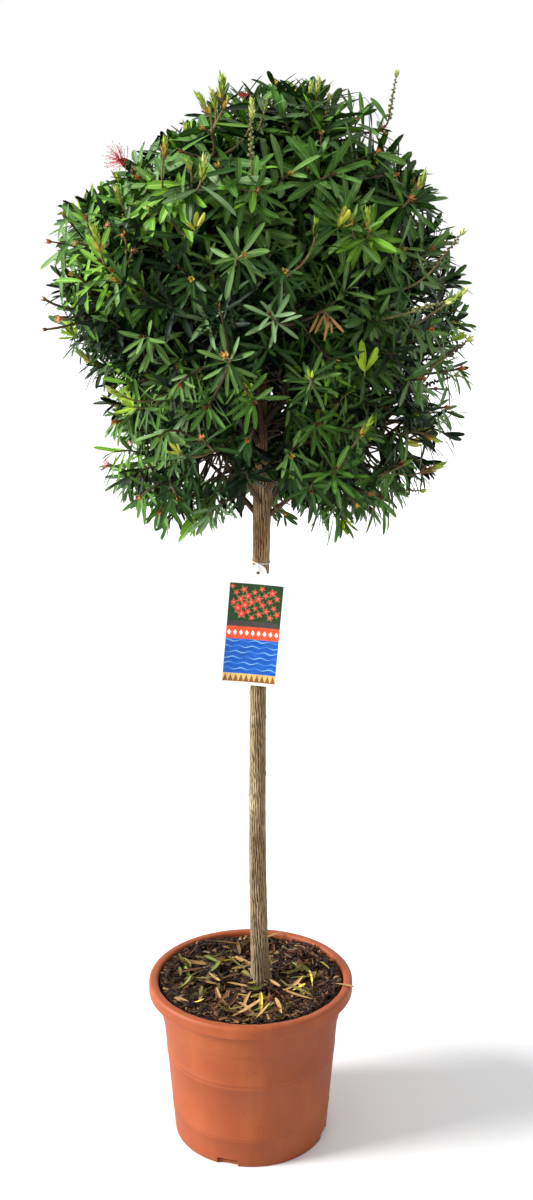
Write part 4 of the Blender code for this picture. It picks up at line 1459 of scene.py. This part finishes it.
# The crown's outline as seen from the front: height, then how far it reaches left and right of the stem
crownOutline = (
    (0.985, 0.190, 0.190),
    (1.016, 0.228, 0.215),
    (1.074, 0.238, 0.270),
    (1.132, 0.236, 0.300),
    (1.189, 0.262, 0.318),
    (1.245, 0.292, 0.300),
    (1.300, 0.320, 0.308),
    (1.355, 0.305, 0.282),
    (1.410, 0.288, 0.275),
    (1.436, 0.266, 0.258),
    (1.463, 0.208, 0.240),
    (1.489, 0.186, 0.214),
    (1.516, 0.150, 0.208),
    (1.545, 0.098, 0.176),
    (1.572, 0.064, 0.146),
    (1.600, 0.020, 0.096),
)


def aboveUnderside(point, margin=0.0):
    # the crown's underside rises towards the stem and hangs in lobes, with a gap at the front
    rule = growth["underside"]
    x, y = point.x - stem["x"], point.y - stem["y"]
    lobe = 0.62 - 0.38 * math.cos(rule["lobes"] * (math.atan2(y, x) + math.pi / 2))
    drop = rule["drop"] * lobe * within((math.hypot(x, y) - rule["from"]) / rule["over"])
    return point.z > rule["near"] - drop + margin


def inOutline(point, margin=0.0):
    # the reach at other azimuths lies on an ellipse through the left, the right and their mean
    heights, lefts, rights = zip(*crownOutline)
    if point.z > heights[-1]:
        return False
    x, y = point.x - stem["x"], point.y - stem["y"]
    left, right = float(np.interp(point.z, heights, lefts)), float(np.interp(point.z, heights, rights))
    across, deep = (left if x < 0 else right) - margin, (left + right) / 2 * 1.05 - margin
    return across > 0.01 and (x / across) ** 2 + (y / deep) ** 2 < 1.0


def inClumpGap(point):
    waves = growth["clumpWaves"]
    return math.sin(point.x * waves.x + 1.3) * math.sin(point.y * waves.y + 0.6) * math.sin(
        point.z * waves.z + point.x * 20.0) > growth["clump"]


# Where the camera sees sky through the crown: x and z beside the stem, then how far each reaches
skyGaps = (
    (0.208, 1.120, 0.016, 0.020),
    (0.178, 1.078, 0.012, 0.022),
    (0.236, 1.098, 0.013, 0.016),
    (0.262, 1.185, 0.010, 0.016),
    (-0.048, 1.062, 0.030, 0.026),
    (0.238, 1.300, 0.009, 0.014),
    (-0.120, 1.415, 0.006, 0.008),
    (0.205, 1.440, 0.007, 0.009),
)


def inSkyGap(point):
    eye = Vector(viewSettings["place"])
    share = (stem["y"] - eye.y) / (point.y - eye.y)
    x, z = eye.x + (point.x - eye.x) * share, eye.z + (point.z - eye.z) * share
    return any(((x - a) / wide) ** 2 + ((z - b) / high) ** 2 < 1.0 for a, b, wide, high in skyGaps)


def hidesStem(point):
    # the stem is bare below its head
    return abs(point.x - stem["x"]) < 0.020 and point.y < stem["y"] and point.z < stem["head"]


def inReach(masses, point, spare=0.0):
    return any((point - mass.centre).length <= mass.radius + spare for mass in masses)


def pathPoint(path, share):
    place = share * (len(path) - 1)
    i = min(int(place), len(path) - 2)
    return mix(path[i], path[i + 1], place - i), (path[i + 1] - path[i]).normalized()


def leafSize(draw, height):
    # leaves are larger towards the top of the crown
    small, large = growth["smallLeaf"], growth["largeLeaf"]
    share = within((height - small["below"]) / (large["above"] - small["below"])) ** 1.7
    return tuple(
        mix(mix(*small[key], draw.random()), mix(*large[key], draw.random()), share)
        for key in ("length", "width")
    )


def dressSpray(plant, masses, draw, path, leafy, count, colour, larger=1.0, hang=0.0, star=1.0):
    # leaves in a spiral from the tip of a twig down, ever more open. leafy is the length that has them
    turnFirst = draw.uniform(0, math.tau)
    side, other = sidesAlong(path)[-1]
    length = sum((b - a).length for a, b in zip(path, path[1:]))
    leafFrom = max(0.06, 1.0 - leafy / length)
    for i in range(count):
        share = i / max(count - 1, 1)
        place, ahead = pathPoint(path, mix(1.0, leafFrom, share**1.15))
        turn = turnFirst + goldenAngle * i
        lean = mix(growth["leanTip"], growth["leanFoot"], min(share * 1.7, 1.0) ** 0.6) * star
        lean *= draw.uniform(0.78, 1.18)
        out = side * math.cos(turn) + other * math.sin(turn)
        out = (out - ahead * out.dot(ahead)).normalized()
        along = ahead * math.cos(lean) + out * math.sin(lean)
        along = (along + down * hang * draw.uniform(0.6, 1.2)).normalized()
        face = ahead + up * 0.35
        face = face - along * face.dot(along)
        if face.length < 0.15:
            face = up - along * up.dot(along)
        face.normalize()
        roll = draw.gauss(0, 0.32)
        face = (face * math.cos(roll) + along.cross(face) * math.sin(roll)).normalized()
        young = 0.60 + 0.40 * within(share * 5.0)
        leaf, width = leafSize(draw, place.z)
        leaf, width = leaf * larger * young, width * larger * (0.72 + 0.28 * young)
        curl, fold = mix(*growth["curl"], draw.random()), mix(*growth["fold"], draw.random())
        sway = draw.gauss(0, growth["sway"])
        if draw.random() < 0.06:
            continue
        for shrink in (1.0, 0.84, 0.68):
            tip = place + along * leaf * shrink - face * curl * leaf * shrink
            if not inReach(masses, tip, growth["spare"]) or inHollow(tip) or hidesStem(tip):
                continue
            if inSkyGap(tip) or inSkyGap(mix(place, tip, 0.5)):
                continue
            if inOutline(tip, -growth["overhang"]) and aboveUnderside(tip, -0.012):
                size = (leaf * shrink, width * shrink**0.5)
                blade = (tuple(place), tuple(along), tuple(face), *size, curl, fold, sway)
                plant.leaves[colour].append(blade)
                break


def hangAt(tip):
    middle = growth["middle"]
    out = math.hypot(tip.x - middle.x, tip.y - middle.y)
    low = within((growth["hangBelow"] - tip.z) / growth["hangDepth"])
    return growth["hang"] * low * within(out / 0.16)


def growBough(plant, mass, masses, index):
    draw = random.Random(crown["seed"] + index)
    run, enter = boughWay(mass, masses)
    rest = run[enter:]
    nodes = [rest[0]] + thinned(rest, 3)[1:]
    thick = mass.ring["thick"] or stem["leaderTip"]
    taper = 1.0 if mass.root is None else crown["boughTaper"]
    radii = [mix(thick, thick * taper, within(i / max(enter, 1))) for i in range(enter + 1)]
    inside, last = len(rest) - 1, radii[-1]
    radii += [mix(last, crown["twigFoot"], (i + 1) / max(inside, 1)) for i in range(inside)]
    plant.boughs.append((run, radii))
    for way in spreadWays(crown["twigs"], draw.uniform(0.0, math.tau)):
        for share in crown["twigTries"]:
            tip = mass.centre + way * mass.radius * crown["twigReach"] * share
            root = min(nodes, key=lambda node: (node - tip).length)
            if inSpace(mass, masses, tip):
                path = bow(root, mix(root, tip, 0.5) + down * 0.006, tip, 6)
                plant.twigs.append((path, [mix(0.0028, 0.0021, i / 5) for i in range(6)]))
                nodes += [path[2], path[4], tip]
                break
    mass.nodes = nodes


def twigTo(mass, tip, heading, count=7):
    # a curved twig from the wood that lies best behind the tip
    root = min(mass.nodes, key=lambda node: (node - tip + heading * 0.05).length)
    bend = tip - heading * (tip - root).length * 0.55
    return bow(root, bend, tip, count)


def growSprays(plant, mass, masses, index, taken):
    draw = random.Random(crown["seed"] + 100 + index)
    for shell in ("outer", "inner"):
        inner = shell == "inner"
        for way in spreadWays(growth[shell][mass.ring["name"]], draw.uniform(0.0, math.tau)):
            stray = Vector([draw.gauss(0, growth["scatter"]) for _ in range(3)])
            reach = mix(*growth["innerReach" if inner else "outerReach"], draw.random())
            tip = mass.centre + (way + stray).normalized() * mass.radius * reach
            if not inLeafySpace(mass, masses, tip) or hidesStem(tip) or not aboveUnderside(tip, 0.006):
                continue
            if not inOutline(tip, mix(*growth["edge"], draw.random())):
                continue
            if any((tip - place).length < growth["apart"] for place in taken):
                continue
            if not inner and inClumpGap(tip):
                continue
            out = (tip - growth["middle"]).normalized()
            heading = (out + up * growth["rise"] * draw.uniform(0.2, 1.6)).normalized()
            path = twigTo(mass, tip, heading)
            plant.twigs.append((path, [mix(0.0021, 0.0013, i / 6) for i in range(7)]))
            mass.tips.append(path[4])
            colour = sprayColour(draw, tip, inner)
            count = round(draw.randint(*growth["leaves"]) * (0.72 if inner else 1.0))
            leafy = mix(*growth["leafy"], draw.random())
            dressSpray(plant, masses, draw, path, leafy, count, colour, draw.uniform(0.88, 1.08), hangAt(tip))
            if not inner:
                endSpray(plant, draw, path)


def endSpray(plant, draw, path):
    # most sprays end in a small bud, and some in a flush of young leaves
    ahead = (path[-1] - path[-2]).normalized()
    pick = draw.random()
    if pick < 0.030:
        addFlush(plant, draw, path[-1], ahead, draw.uniform(0.014, 0.024), "leaves_lime", 5)
    elif pick < 0.50:
        kind = dealt(draw, {
            "scales_brown": (None, 0.40), "scales_gold": (None, 0.26),
            "scales_lime": (None, 0.20), "scales_orange": (None, 0.14),
        })
        addBud(plant, draw, path[-1], ahead, draw.uniform(0.007, 0.011), kind)


# What stands out of the leaves: new shoots, buds, seed spikes and the few flowers

def aroundAxis(axis, turn):
    side = axis.orthogonal().normalized()
    return side * math.cos(turn) + axis.cross(side) * math.sin(turn)


def bladeFrom(root, axis, out, lean, length, width, curl, fold, sway=0.0):
    along = (axis * math.cos(lean) + out * math.sin(lean)).normalized()
    face = (out - along * out.dot(along)).normalized()
    return (tuple(root), tuple(along), tuple(face), length, width, curl, fold, sway)


def addBud(plant, draw, foot, axis, length, kind):
    for i in range(6):
        out = aroundAxis(axis, goldenAngle * i + draw.uniform(-0.3, 0.3))
        lean, scale = draw.uniform(0.12, 0.50), length * draw.uniform(0.8, 1.1)
        plant.scales[kind].append(bladeFrom(foot, axis, out, lean, scale, length * 0.42, -0.1, 0.3))


def addFlush(plant, draw, foot, axis, length, colour, count):
    # a few upright young leaves
    for i in range(count):
        out = aroundAxis(axis, goldenAngle * i)
        lean = draw.uniform(0.20, 0.75)
        leaf, curl = length * draw.uniform(0.75, 1.1), draw.uniform(-0.1, 0.2)
        plant.leaves[colour].append(bladeFrom(foot, axis, out, lean, leaf, leaf * 0.24, curl, 0.5))


def addSpindle(plant, draw, foot, axis, length, kinds, count=20):
    # a long bud of overlapping scales. kinds are its colours from foot to tip
    width = length * 0.22
    plant.beads["bud_cores"].append((foot + axis * length * 0.42, axis, width * 0.34, length * 0.42))
    for i in range(count):
        share = i / (count - 1)
        out = aroundAxis(axis, goldenAngle * i)
        root = foot + axis * length * share * 0.66 + out * width * 0.14
        kind = kinds[min(int(share * len(kinds)), len(kinds) - 1)]
        scale = length * mix(0.34, 0.36, share) * draw.uniform(0.9, 1.1)
        lean = mix(0.42, 0.10, share) * draw.uniform(0.7, 1.3)
        plant.scales[kind].append(bladeFrom(root, axis, out, lean, scale, width * 0.52, -0.12, 0.35))


def addSeeds(plant, draw, foot, axis, length, kind):
    # last year's flower spike: woody cups in a spiral round the twig, with a tuft of green at its end
    end = foot + axis * length
    path = bow(foot, mix(foot, end, 0.5) + aroundAxis(axis, 1.0) * length * 0.05, end, 6)
    plant.shoots.append((path, [mix(0.0015, 0.0008, i / 5) for i in range(6)]))
    for i in range(20):
        share = i / 19
        place, ahead = pathPoint(path, mix(0.06, 0.90, share))
        out = aroundAxis(ahead, goldenAngle * i)
        radius, way = mix(0.0025, 0.0013, share), (out + ahead * 0.4).normalized()
        plant.beads[kind].append((place + out * (radius + 0.0004), way, radius, radius))
    addBud(plant, draw, end - axis * 0.002, axis, 0.012, "scales_pale")


def addStar(plant, draw, foot, axis, size, kind):
    # an opened bud: pointed scales round a few tan knobs
    for i in range(9):
        out = aroundAxis(axis, goldenAngle * i)
        lean, scale = draw.uniform(0.35, 1.05), size * draw.uniform(0.7, 1.1)
        plant.scales[kind].append(bladeFrom(foot, axis, out, lean, scale, size * 0.34, -0.2, 0.3))
    for i in range(5):
        out = aroundAxis(axis, goldenAngle * i)
        place = foot + axis * size * 0.35 + out * size * 0.16
        plant.beads["knobs_tan"].append((place, axis, size * 0.15, size * 0.18))


def addFlower(plant, draw, foot, axis, size, count):
    # a ragged brush with its stamens bent back
    stalk = [foot - axis * size * 0.3, foot, foot + axis * size * 0.5]
    plant.shoots.append((stalk, [0.0012, 0.0012, 0.0008]))
    for i in range(count):
        out = aroundAxis(axis, goldenAngle * i)
        root = foot + axis * size * 0.5 * i / count
        lean = draw.uniform(0.35, 1.35)
        way = (axis * math.cos(lean) + out * math.sin(lean)).normalized()
        length = size * draw.uniform(0.6, 1.0)
        end = root + way * length + axis * length * 0.10
        thin = [0.00036, 0.00032, 0.00028, 0.00024]
        plant.stamens.append((bow(root, root + way * length * 0.6, end, 4), thin))
        plant.beads["anthers"].append((end, way, 0.0006, 0.0009))
    for i in range(8):
        out = aroundAxis(axis, goldenAngle * i + 0.4)
        place = foot + axis * size * 0.45 * i / 8 + out * 0.0016
        plant.beads["seed_green"].append((place, out, 0.0016, 0.0018))


accents = {
    # each row: kind, x and z of its foot as the camera sees it beside the stem, x and z of its tip, colours
    "rows": (
        ("spindle", -0.037, 1.560, -0.035, 1.606, "lime"),
        ("spindle", -0.053, 1.548, -0.070, 1.578, "lime"),
        ("spindle", -0.045, 1.555, -0.051, 1.584, "fresh"),
        ("spindle", -0.036, 1.553, -0.026, 1.572, "gold"),
        ("spindle", 0.004, 1.541, 0.005, 1.570, "pale"),
        ("spindle", 0.022, 1.552, 0.025, 1.569, "pale"),
        ("spindle", 0.084, 1.570, 0.086, 1.594, "pale"),
        ("spindle", 0.093, 1.574, 0.097, 1.600, "pale"),
        ("spindle", -0.066, 1.461, -0.060, 1.495, "fresh"),
        ("spindle", -0.080, 1.474, -0.086, 1.492, "lime"),
        ("spindle", -0.176, 1.429, -0.185, 1.455, "fresh"),
        ("spindle", -0.118, 1.488, -0.114, 1.520, "gold"),
        ("spindle", -0.207, 1.364, -0.218, 1.405, "lime"),
        ("spindle", -0.179, 1.324, -0.199, 1.333, "gold"),
        ("spindle", 0.232, 1.450, 0.246, 1.476, "lime"),
        ("spindle", 0.167, 1.393, 0.165, 1.428, "lime"),
        ("spindle", 0.144, 1.396, 0.142, 1.420, "gold"),
        ("spindle", 0.092, 1.385, 0.094, 1.412, "lime"),
        ("spindle", 0.158, 1.107, 0.178, 1.135, "lime"),
        ("spindle", 0.248, 1.055, 0.285, 1.069, "gold"),
        ("spindle", 0.222, 1.066, 0.236, 1.074, "lime"),
        ("spindle", 0.250, 1.112, 0.276, 1.100, "gold"),
        ("spindle", 0.285, 1.300, 0.308, 1.316, "fresh"),
        ("spindle", -0.180, 1.165, -0.205, 1.178, "fresh"),
        ("flush", 0.165, 1.200, 0.170, 1.238, "lime"),
        ("flush", 0.088, 1.190, 0.085, 1.204, "lime"),
        ("flush", 0.143, 1.172, 0.152, 1.178, "lime"),
        ("flush", -0.165, 1.150, -0.195, 1.160, "lime"),
        ("flush", 0.125, 1.400, 0.140, 1.425, "gold"),
        ("flush", -0.075, 1.395, -0.070, 1.420, "gold"),
        ("flush", -0.100, 1.083, -0.115, 1.092, "gold"),
        ("seeds", 0.192, 1.541, 0.201, 1.597, "seed_green"),
        ("seeds", 0.259, 1.343, 0.292, 1.385, "seed_dark"),
        ("seeds", 0.282, 1.222, 0.308, 1.242, "seed_dark"),
        ("seeds", 0.230, 1.284, 0.272, 1.296, "seed_green"),
        ("seeds", 0.004, 1.490, 0.004, 1.540, "seed_green"),
        ("star", 0.148, 1.540, 0.150, 1.552, "scales_brown"),
        ("star", 0.100, 1.522, 0.101, 1.533, "scales_gold"),
        ("star", 0.010, 1.449, 0.020, 1.452, "scales_brown"),
        ("star", 0.224, 1.437, 0.230, 1.447, "scales_orange"),
        ("star", -0.163, 1.366, -0.160, 1.374, "scales_brown"),
        ("star", -0.174, 1.388, -0.180, 1.398, "scales_orange"),
        ("star", -0.196, 1.400, -0.200, 1.409, "scales_brown"),
        ("star", -0.008, 1.362, -0.004, 1.364, "scales_gold"),
        ("star", -0.266, 1.274, -0.274, 1.276, "scales_orange"),
        ("star", -0.068, 1.104, -0.072, 1.108, "scales_orange"),
        ("star", -0.158, 1.020, -0.162, 1.016, "scales_gold"),
        ("star", -0.033, 1.222, -0.036, 1.224, "scales_orange"),
        ("flower", -0.168, 1.484, -0.190, 1.499, "large"),
        ("flower", -0.006, 1.566, -0.005, 1.574, "small"),
        ("flower", 0.178, 1.528, 0.184, 1.530, "small"),
        ("flower", -0.200, 1.066, -0.214, 1.068, "small"),
    ),
    # more of them stand all round, dealt by rule from these
    "kinds": (
        ("spindle", "lime"), ("spindle", "fresh"), ("spindle", "gold"), ("spindle", "pale"),
        ("star", "scales_brown"), ("star", "scales_orange"), ("star", "scales_gold"), ("flush", "lime"),
        ("seeds", "seed_dark"), ("seeds", "seed_green"), ("flower", "small"), ("flush", "gold"),
    ),
    "random": 60,
    "stand": 0.004,  # how far they stand out of the leaves
}


def frontPlace(masses, x, z, reach=0.93):
    # where the camera's line through a place beside the stem first meets the crown
    eye = Vector(viewSettings["place"])
    target = Vector((x, stem["y"], z))
    ahead = (target - eye).normalized()
    steps = [eye + ahead * (1.50 + 0.004 * i) for i in range(240)]
    for point in steps:
        if any((point - mass.centre).length < mass.radius * reach for mass in masses):
            return point
    # beyond the outline it stands level with the ball that is nearest to it
    return min(steps, key=lambda point: min((point - mass.centre).length - mass.radius for mass in masses))


def nearestMass(masses, point):
    return min(masses, key=lambda mass: (point - mass.centre).length / mass.radius)


def carry(plant, masses, draw, foot, axis):
    # the leafy twig that an accent grows on, from the nearest spray
    mass = nearestMass(masses, foot)
    root = min(mass.nodes + mass.tips, key=lambda node: (node - foot + axis * 0.035).length)
    path = bow(root, foot - axis * (foot - root).length * 0.45, foot + axis * 0.003, 7)
    plant.shoots.append((path, [mix(0.0017, 0.0012, i / 6) for i in range(7)]))
    colour = sprayColour(draw, foot, False)
    dressSpray(plant, masses, draw, path, 0.055, 13, colour, 0.92, hangAt(foot), 1.25)


def addAccent(plant, draw, kind, foot, axis, length, colour):
    if kind == "spindle":
        kinds = {
            "lime": ("scales_gold", "scales_lime", "scales_lime"),
            "fresh": ("scales_lime", "scales_lime", "scales_pale"),
            "gold": ("scales_brown", "scales_gold", "scales_lime"),
            "pale": ("scales_lime", "scales_pale", "scales_pale"),
        }[colour]
        addSpindle(plant, draw, foot, axis, length, kinds)
    elif kind == "flush":
        addFlush(plant, draw, foot, axis, length, "leaves_" + colour, 5)
    elif kind == "seeds":
        addSeeds(plant, draw, foot, axis, length, colour)
    elif kind == "star":
        addStar(plant, draw, foot, axis, 0.0085, colour)
    elif kind == "flower":
        large = colour == "large"
        addFlower(plant, draw, foot, axis, 0.024 if large else 0.012, 54 if large else 24)


def growAccents(plant, masses):
    draw = random.Random(crown["seed"] + 500)
    eye = Vector(viewSettings["place"])
    for kind, x, z, tipX, tipZ, colour in accents["rows"]:
        foot = frontPlace(masses, x, z)
        forward = (eye - foot).normalized()
        foot = foot + forward * accents["stand"]
        run = Vector((tipX - x, 0.0, tipZ - z))
        lean = 0.8 if kind in ("star", "flush") else 0.25
        axis = (run.normalized() + forward * lean).normalized()
        carry(plant, masses, draw, foot, axis)
        addAccent(plant, draw, kind, foot, axis, run.length * 1.02, colour)
    ways = spreadWays(accents["random"], 0.7)
    for way in ways:
        if way.y < -0.45 or way.z < -0.75:
            continue  # the front is set one by one above
        centre = growth["middle"]
        steps = [centre + way * (0.45 - 0.004 * i) for i in range(100)]
        foot = next(point for point in steps if inReach(masses, point, -0.02) and inOutline(point, 0.02))
        axis = (way + up * draw.uniform(0.4, 1.1)).normalized()
        kind, colour = draw.choice(accents["kinds"])
        length = draw.uniform(0.024, 0.040) if kind != "seeds" else draw.uniform(0.035, 0.055)
        foot = foot - axis * length * 0.5
        carry(plant, masses, draw, foot, axis)
        addAccent(plant, draw, kind, foot, axis, length, colour)


# Sprays that can be told apart from the front: x and z as for the accents, the way each heads to the
# right and up, then its leaves, their size, their colour and how they hang

# their greens carry painted shade and light: deep ones in the shaded middle, on the right and low down, fresh
# ones on the lit upper left
featuredSprays = (
    (0.125, 1.060, 0.10, 0.20, 17, 1.16, "leaves_green", 0.10),
    (-0.033, 1.222, -0.10, 0.25, 13, 0.90, "leaves_mid", 0.20),
    (0.010, 1.452, 0.10, 0.60, 14, 1.00, "leaves_green", 0.10),
    (0.226, 1.432, 0.90, 0.35, 14, 1.05, "leaves_deep", 0.15),
    (0.300, 1.205, 0.80, 0.20, 15, 1.10, "leaves_mid", 0.70),
    (-0.135, 1.425, -0.45, 0.15, 17, 1.02, "leaves_fresh", 0.55),
    (-0.237, 1.378, -0.80, 0.20, 16, 1.00, "leaves_fresh", 0.30),
    (-0.267, 1.277, -0.90, 0.10, 15, 0.95, "leaves_green", 0.30),
    (-0.207, 1.353, -0.60, 0.60, 15, 0.95, "leaves_fresh", 0.10),
    (-0.008, 1.362, 0.05, 0.10, 13, 0.85, "leaves_deep", 0.10),
    (-0.128, 1.109, -0.20, -0.30, 15, 1.05, "leaves_mid", 1.00),
    (-0.159, 1.020, -0.55, -0.35, 16, 1.06, "leaves_green", 0.90),
    (-0.105, 1.020, 0.20, -0.40, 14, 1.02, "leaves_deep", 0.95),
    (0.172, 1.025, 0.60, -0.15, 13, 0.85, "leaves_deep", 1.10),
    (0.217, 1.068, 0.60, 0.20, 15, 0.95, "leaves_deep", 0.50),
    (0.089, 1.190, 0.00, 0.15, 12, 0.85, "leaves_mid", 0.25),
    (0.098, 1.528, 0.35, 0.60, 15, 1.02, "leaves_deep", 0.10),
    (-0.098, 1.184, -0.10, -0.20, 13, 0.85, "leaves_mid", 1.00),
    (0.030, 1.280, -0.10, 0.20, 12, 0.80, "leaves_grey", 0.20),
    (0.150, 1.545, 0.60, 0.60, 14, 0.98, "leaves_green", 0.10),
    (0.050, 0.995, 0.60, -0.20, 9, 0.85, "leaves_deep", 0.80),
    (0.114, 1.275, 0.10, -0.30, 8, 0.62, "leaves_dry", 1.20),
    (-0.255, 1.415, -0.60, 0.80, 16, 1.05, "leaves_green", 0.00),
    (-0.225, 1.410, -0.20, 0.90, 15, 1.05, "leaves_fresh", 0.00),
    (-0.275, 1.380, -0.90, 0.10, 15, 1.10, "leaves_mid", 0.10),
    (-0.285, 1.300, -0.85, 0.50, 16, 1.15, "leaves_green", 0.00),
    (-0.285, 1.260, -0.90, -0.10, 14, 1.05, "leaves_deep", 0.20),
    (-0.245, 1.335, -0.50, 0.20, 16, 1.00, "leaves_fresh", 0.30),
    (-0.190, 1.340, -0.20, 0.20, 15, 0.95, "leaves_mid", 0.50),
    (-0.175, 1.410, -0.35, 0.50, 16, 1.05, "leaves_green", 0.10),
    (-0.150, 1.465, -0.80, 0.30, 17, 1.05, "leaves_mid", 0.15),
    (-0.090, 1.500, -0.80, 0.30, 17, 1.08, "leaves_mid", 0.20),
    (-0.060, 1.530, -0.70, 0.35, 16, 1.05, "leaves_green", 0.15),
    (-0.105, 1.450, -0.50, -0.10, 17, 1.12, "leaves_fresh", 0.60),
    (-0.040, 1.480, -0.40, 0.40, 16, 1.05, "leaves_green", 0.10),
    (0.050, 1.540, -0.30, 0.70, 16, 1.05, "leaves_green", 0.05),
    (0.055, 1.470, 0.40, 0.30, 16, 1.00, "leaves_mid", 0.20),
    (0.115, 1.470, 0.70, 0.30, 17, 1.08, "leaves_green", 0.15),
    (0.175, 1.500, 0.85, 0.40, 17, 1.05, "leaves_mid", 0.15),
    (0.200, 1.470, 0.90, 0.10, 16, 1.05, "leaves_deep", 0.15),
    (0.165, 1.380, 0.40, -0.20, 16, 1.00, "leaves_fresh", 0.70),
    (0.215, 1.370, 0.60, 0.00, 16, 1.00, "leaves_mid", 0.50),
    (0.050, 1.340, 0.10, 0.10, 15, 0.80, "leaves_deep", 0.40),
    (-0.080, 1.330, -0.10, 0.00, 15, 0.80, "leaves_deep", 0.60),
    (-0.150, 1.250, -0.30, 0.00, 16, 0.92, "leaves_mid", 0.70),
    (-0.190, 1.130, -0.60, -0.10, 16, 0.95, "leaves_mid", 0.80),
    (-0.060, 1.150, -0.10, -0.10, 14, 0.90, "leaves_green", 0.80),
    (0.000, 1.105, -0.20, -0.30, 10, 0.90, "leaves_deep", 1.10),
    (-0.130, 1.000, -0.20, -0.50, 15, 1.05, "leaves_green", 1.00),
    (-0.185, 1.045, -0.70, -0.20, 14, 0.95, "leaves_deep", 0.80),
    (0.155, 1.010, 0.40, -0.50, 12, 1.00, "leaves_deep", 1.30),
    (0.090, 1.030, 0.00, -0.20, 13, 0.95, "leaves_deep", 0.70),
    (0.060, 1.080, 0.20, -0.10, 12, 0.85, "leaves_mid", 0.60),
    (0.280, 1.150, 0.70, 0.10, 14, 1.00, "leaves_grey", 0.80),
    (0.245, 1.190, 0.50, 0.10, 16, 0.95, "leaves_grey", 0.60),
    (0.255, 1.260, 0.60, 0.00, 16, 0.95, "leaves_mid", 0.70),
)


def growFeatured(plant, masses):
    # returns the places that they take up
    draw = random.Random(crown["seed"] + 300)
    eye = Vector(viewSettings["place"])
    taken = []
    for x, z, right, rise, count, size, colour, hang in featuredSprays:
        tip = frontPlace(masses, x, z, 0.86)
        forward = (eye - tip).normalized()
        heading = (Vector((right, 0.0, rise)) + forward * 0.55).normalized()
        mass = nearestMass(masses, tip)
        path = twigTo(mass, tip, heading, 8)
        plant.twigs.append((path, [mix(0.0024, 0.0014, i / 7) for i in range(8)]))
        dressSpray(plant, masses, draw, path, 0.030 + 0.0016 * count, count, colour, size, hang, 1.08)
        bud = draw.choice(("scales_brown", "scales_orange", "scales_gold"))
        addBud(plant, draw, path[-1], heading, 0.009, bud)
        mass.tips.append(path[5])
        taken.append(tip)
    return taken


def growBareTwigs(plant, masses):
    # thin leafless twigs in the shade round the stem's head
    draw = random.Random(crown["seed"] + 400)
    for _ in range(growth["bareTwigs"]):
        start = stemPoint(draw.uniform(1.06, 1.34))
        angle, reach = draw.uniform(0, math.tau), draw.uniform(0.04, 0.13)
        out = Vector((math.cos(angle), math.sin(angle), 0.0))
        end = start + out * reach + up * draw.uniform(-0.03, 0.10)
        aside = out.cross(up) * draw.uniform(-0.03, 0.03)
        if inReach(masses, end):
            bend = mix(start, end, 0.5) + up * draw.uniform(-0.03, 0.02) + aside
            path = bow(start, bend, end, 8)
            plant.shoots.append((path, [mix(0.0013, 0.0006, i / 7) for i in range(8)]))


def makeFoliage(plant):
    nodes = [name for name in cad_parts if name.startswith("foliage_")]
    boughNodes = [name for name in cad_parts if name.startswith("bough_")]
    boughs = tubeMesh("boughs", plant.boughs, 12, limbBark("bough_bark", tint(76, 61, 44)), 0.09, 3)
    finishPiece(boughs, "bark", *boughNodes)
    twigs = tubeMesh("twigs", plant.twigs, 4, limbBark("twig_bark", tint(70, 58, 42)), 0.12, 4)
    finishPiece(twigs, "bark")
    shoots = tubeMesh("shoots", plant.shoots, 5, limbBark("shoot_bark", tint(102, 88, 60)), 0.10, 5)
    finishPiece(shoots, "bark")
    for name, blades in plant.leaves.items():
        if not blades:
            continue
        blade, rib = (tint(*colour) for colour in leafColours[name])
        piece = bladeMesh(name, blades, [leafSkin(name, blade), leafSkin(name + "_rib", rib, 0.5)])
        finishPiece(piece, "foliage", *(nodes if name == "leaves_green" else ()))
        print(name, len(blades), "leaves")
    for name, blades in plant.scales.items():
        if blades:
            skin = plainSkin(name, tint(*scaleColours[name]), 0.55)
            finishPiece(bladeMesh(name, blades, [skin], scaleRows, scaleColumns), "foliage")
    for name, beads in plant.beads.items():
        if beads:
            finishPiece(beadMesh(name, beads, plainSkin(name, tint(*beadColours[name]), 0.6)), "foliage")
    stamens = tubeMesh("stamens", plant.stamens, 3, plainSkin("stamen_red", tint(196, 40, 54), 0.5))
    finishPiece(stamens, "foliage")


# Making it all

setCamera()
setLight()
print("camera, floor and light are set")
makePot()
print("pot made")
makeBed()
makeChips()
makeFallenLeaves()
print("mulch made")
bark = stemBark()
makeStem(bark)
makeStub(bark)
print("stem made")
makeTag()
makeString()
print("tag and string made")
plant = Plant()
masses = layOutCrown()
for index, mass in enumerate(masses):
    growBough(plant, mass, masses, index)
taken = growFeatured(plant, masses)
for index, mass in enumerate(masses):
    growSprays(plant, mass, masses, index, taken)
growAccents(plant, masses)
growBareTwigs(plant, masses)
makeFoliage(plant)
print("crown grown")
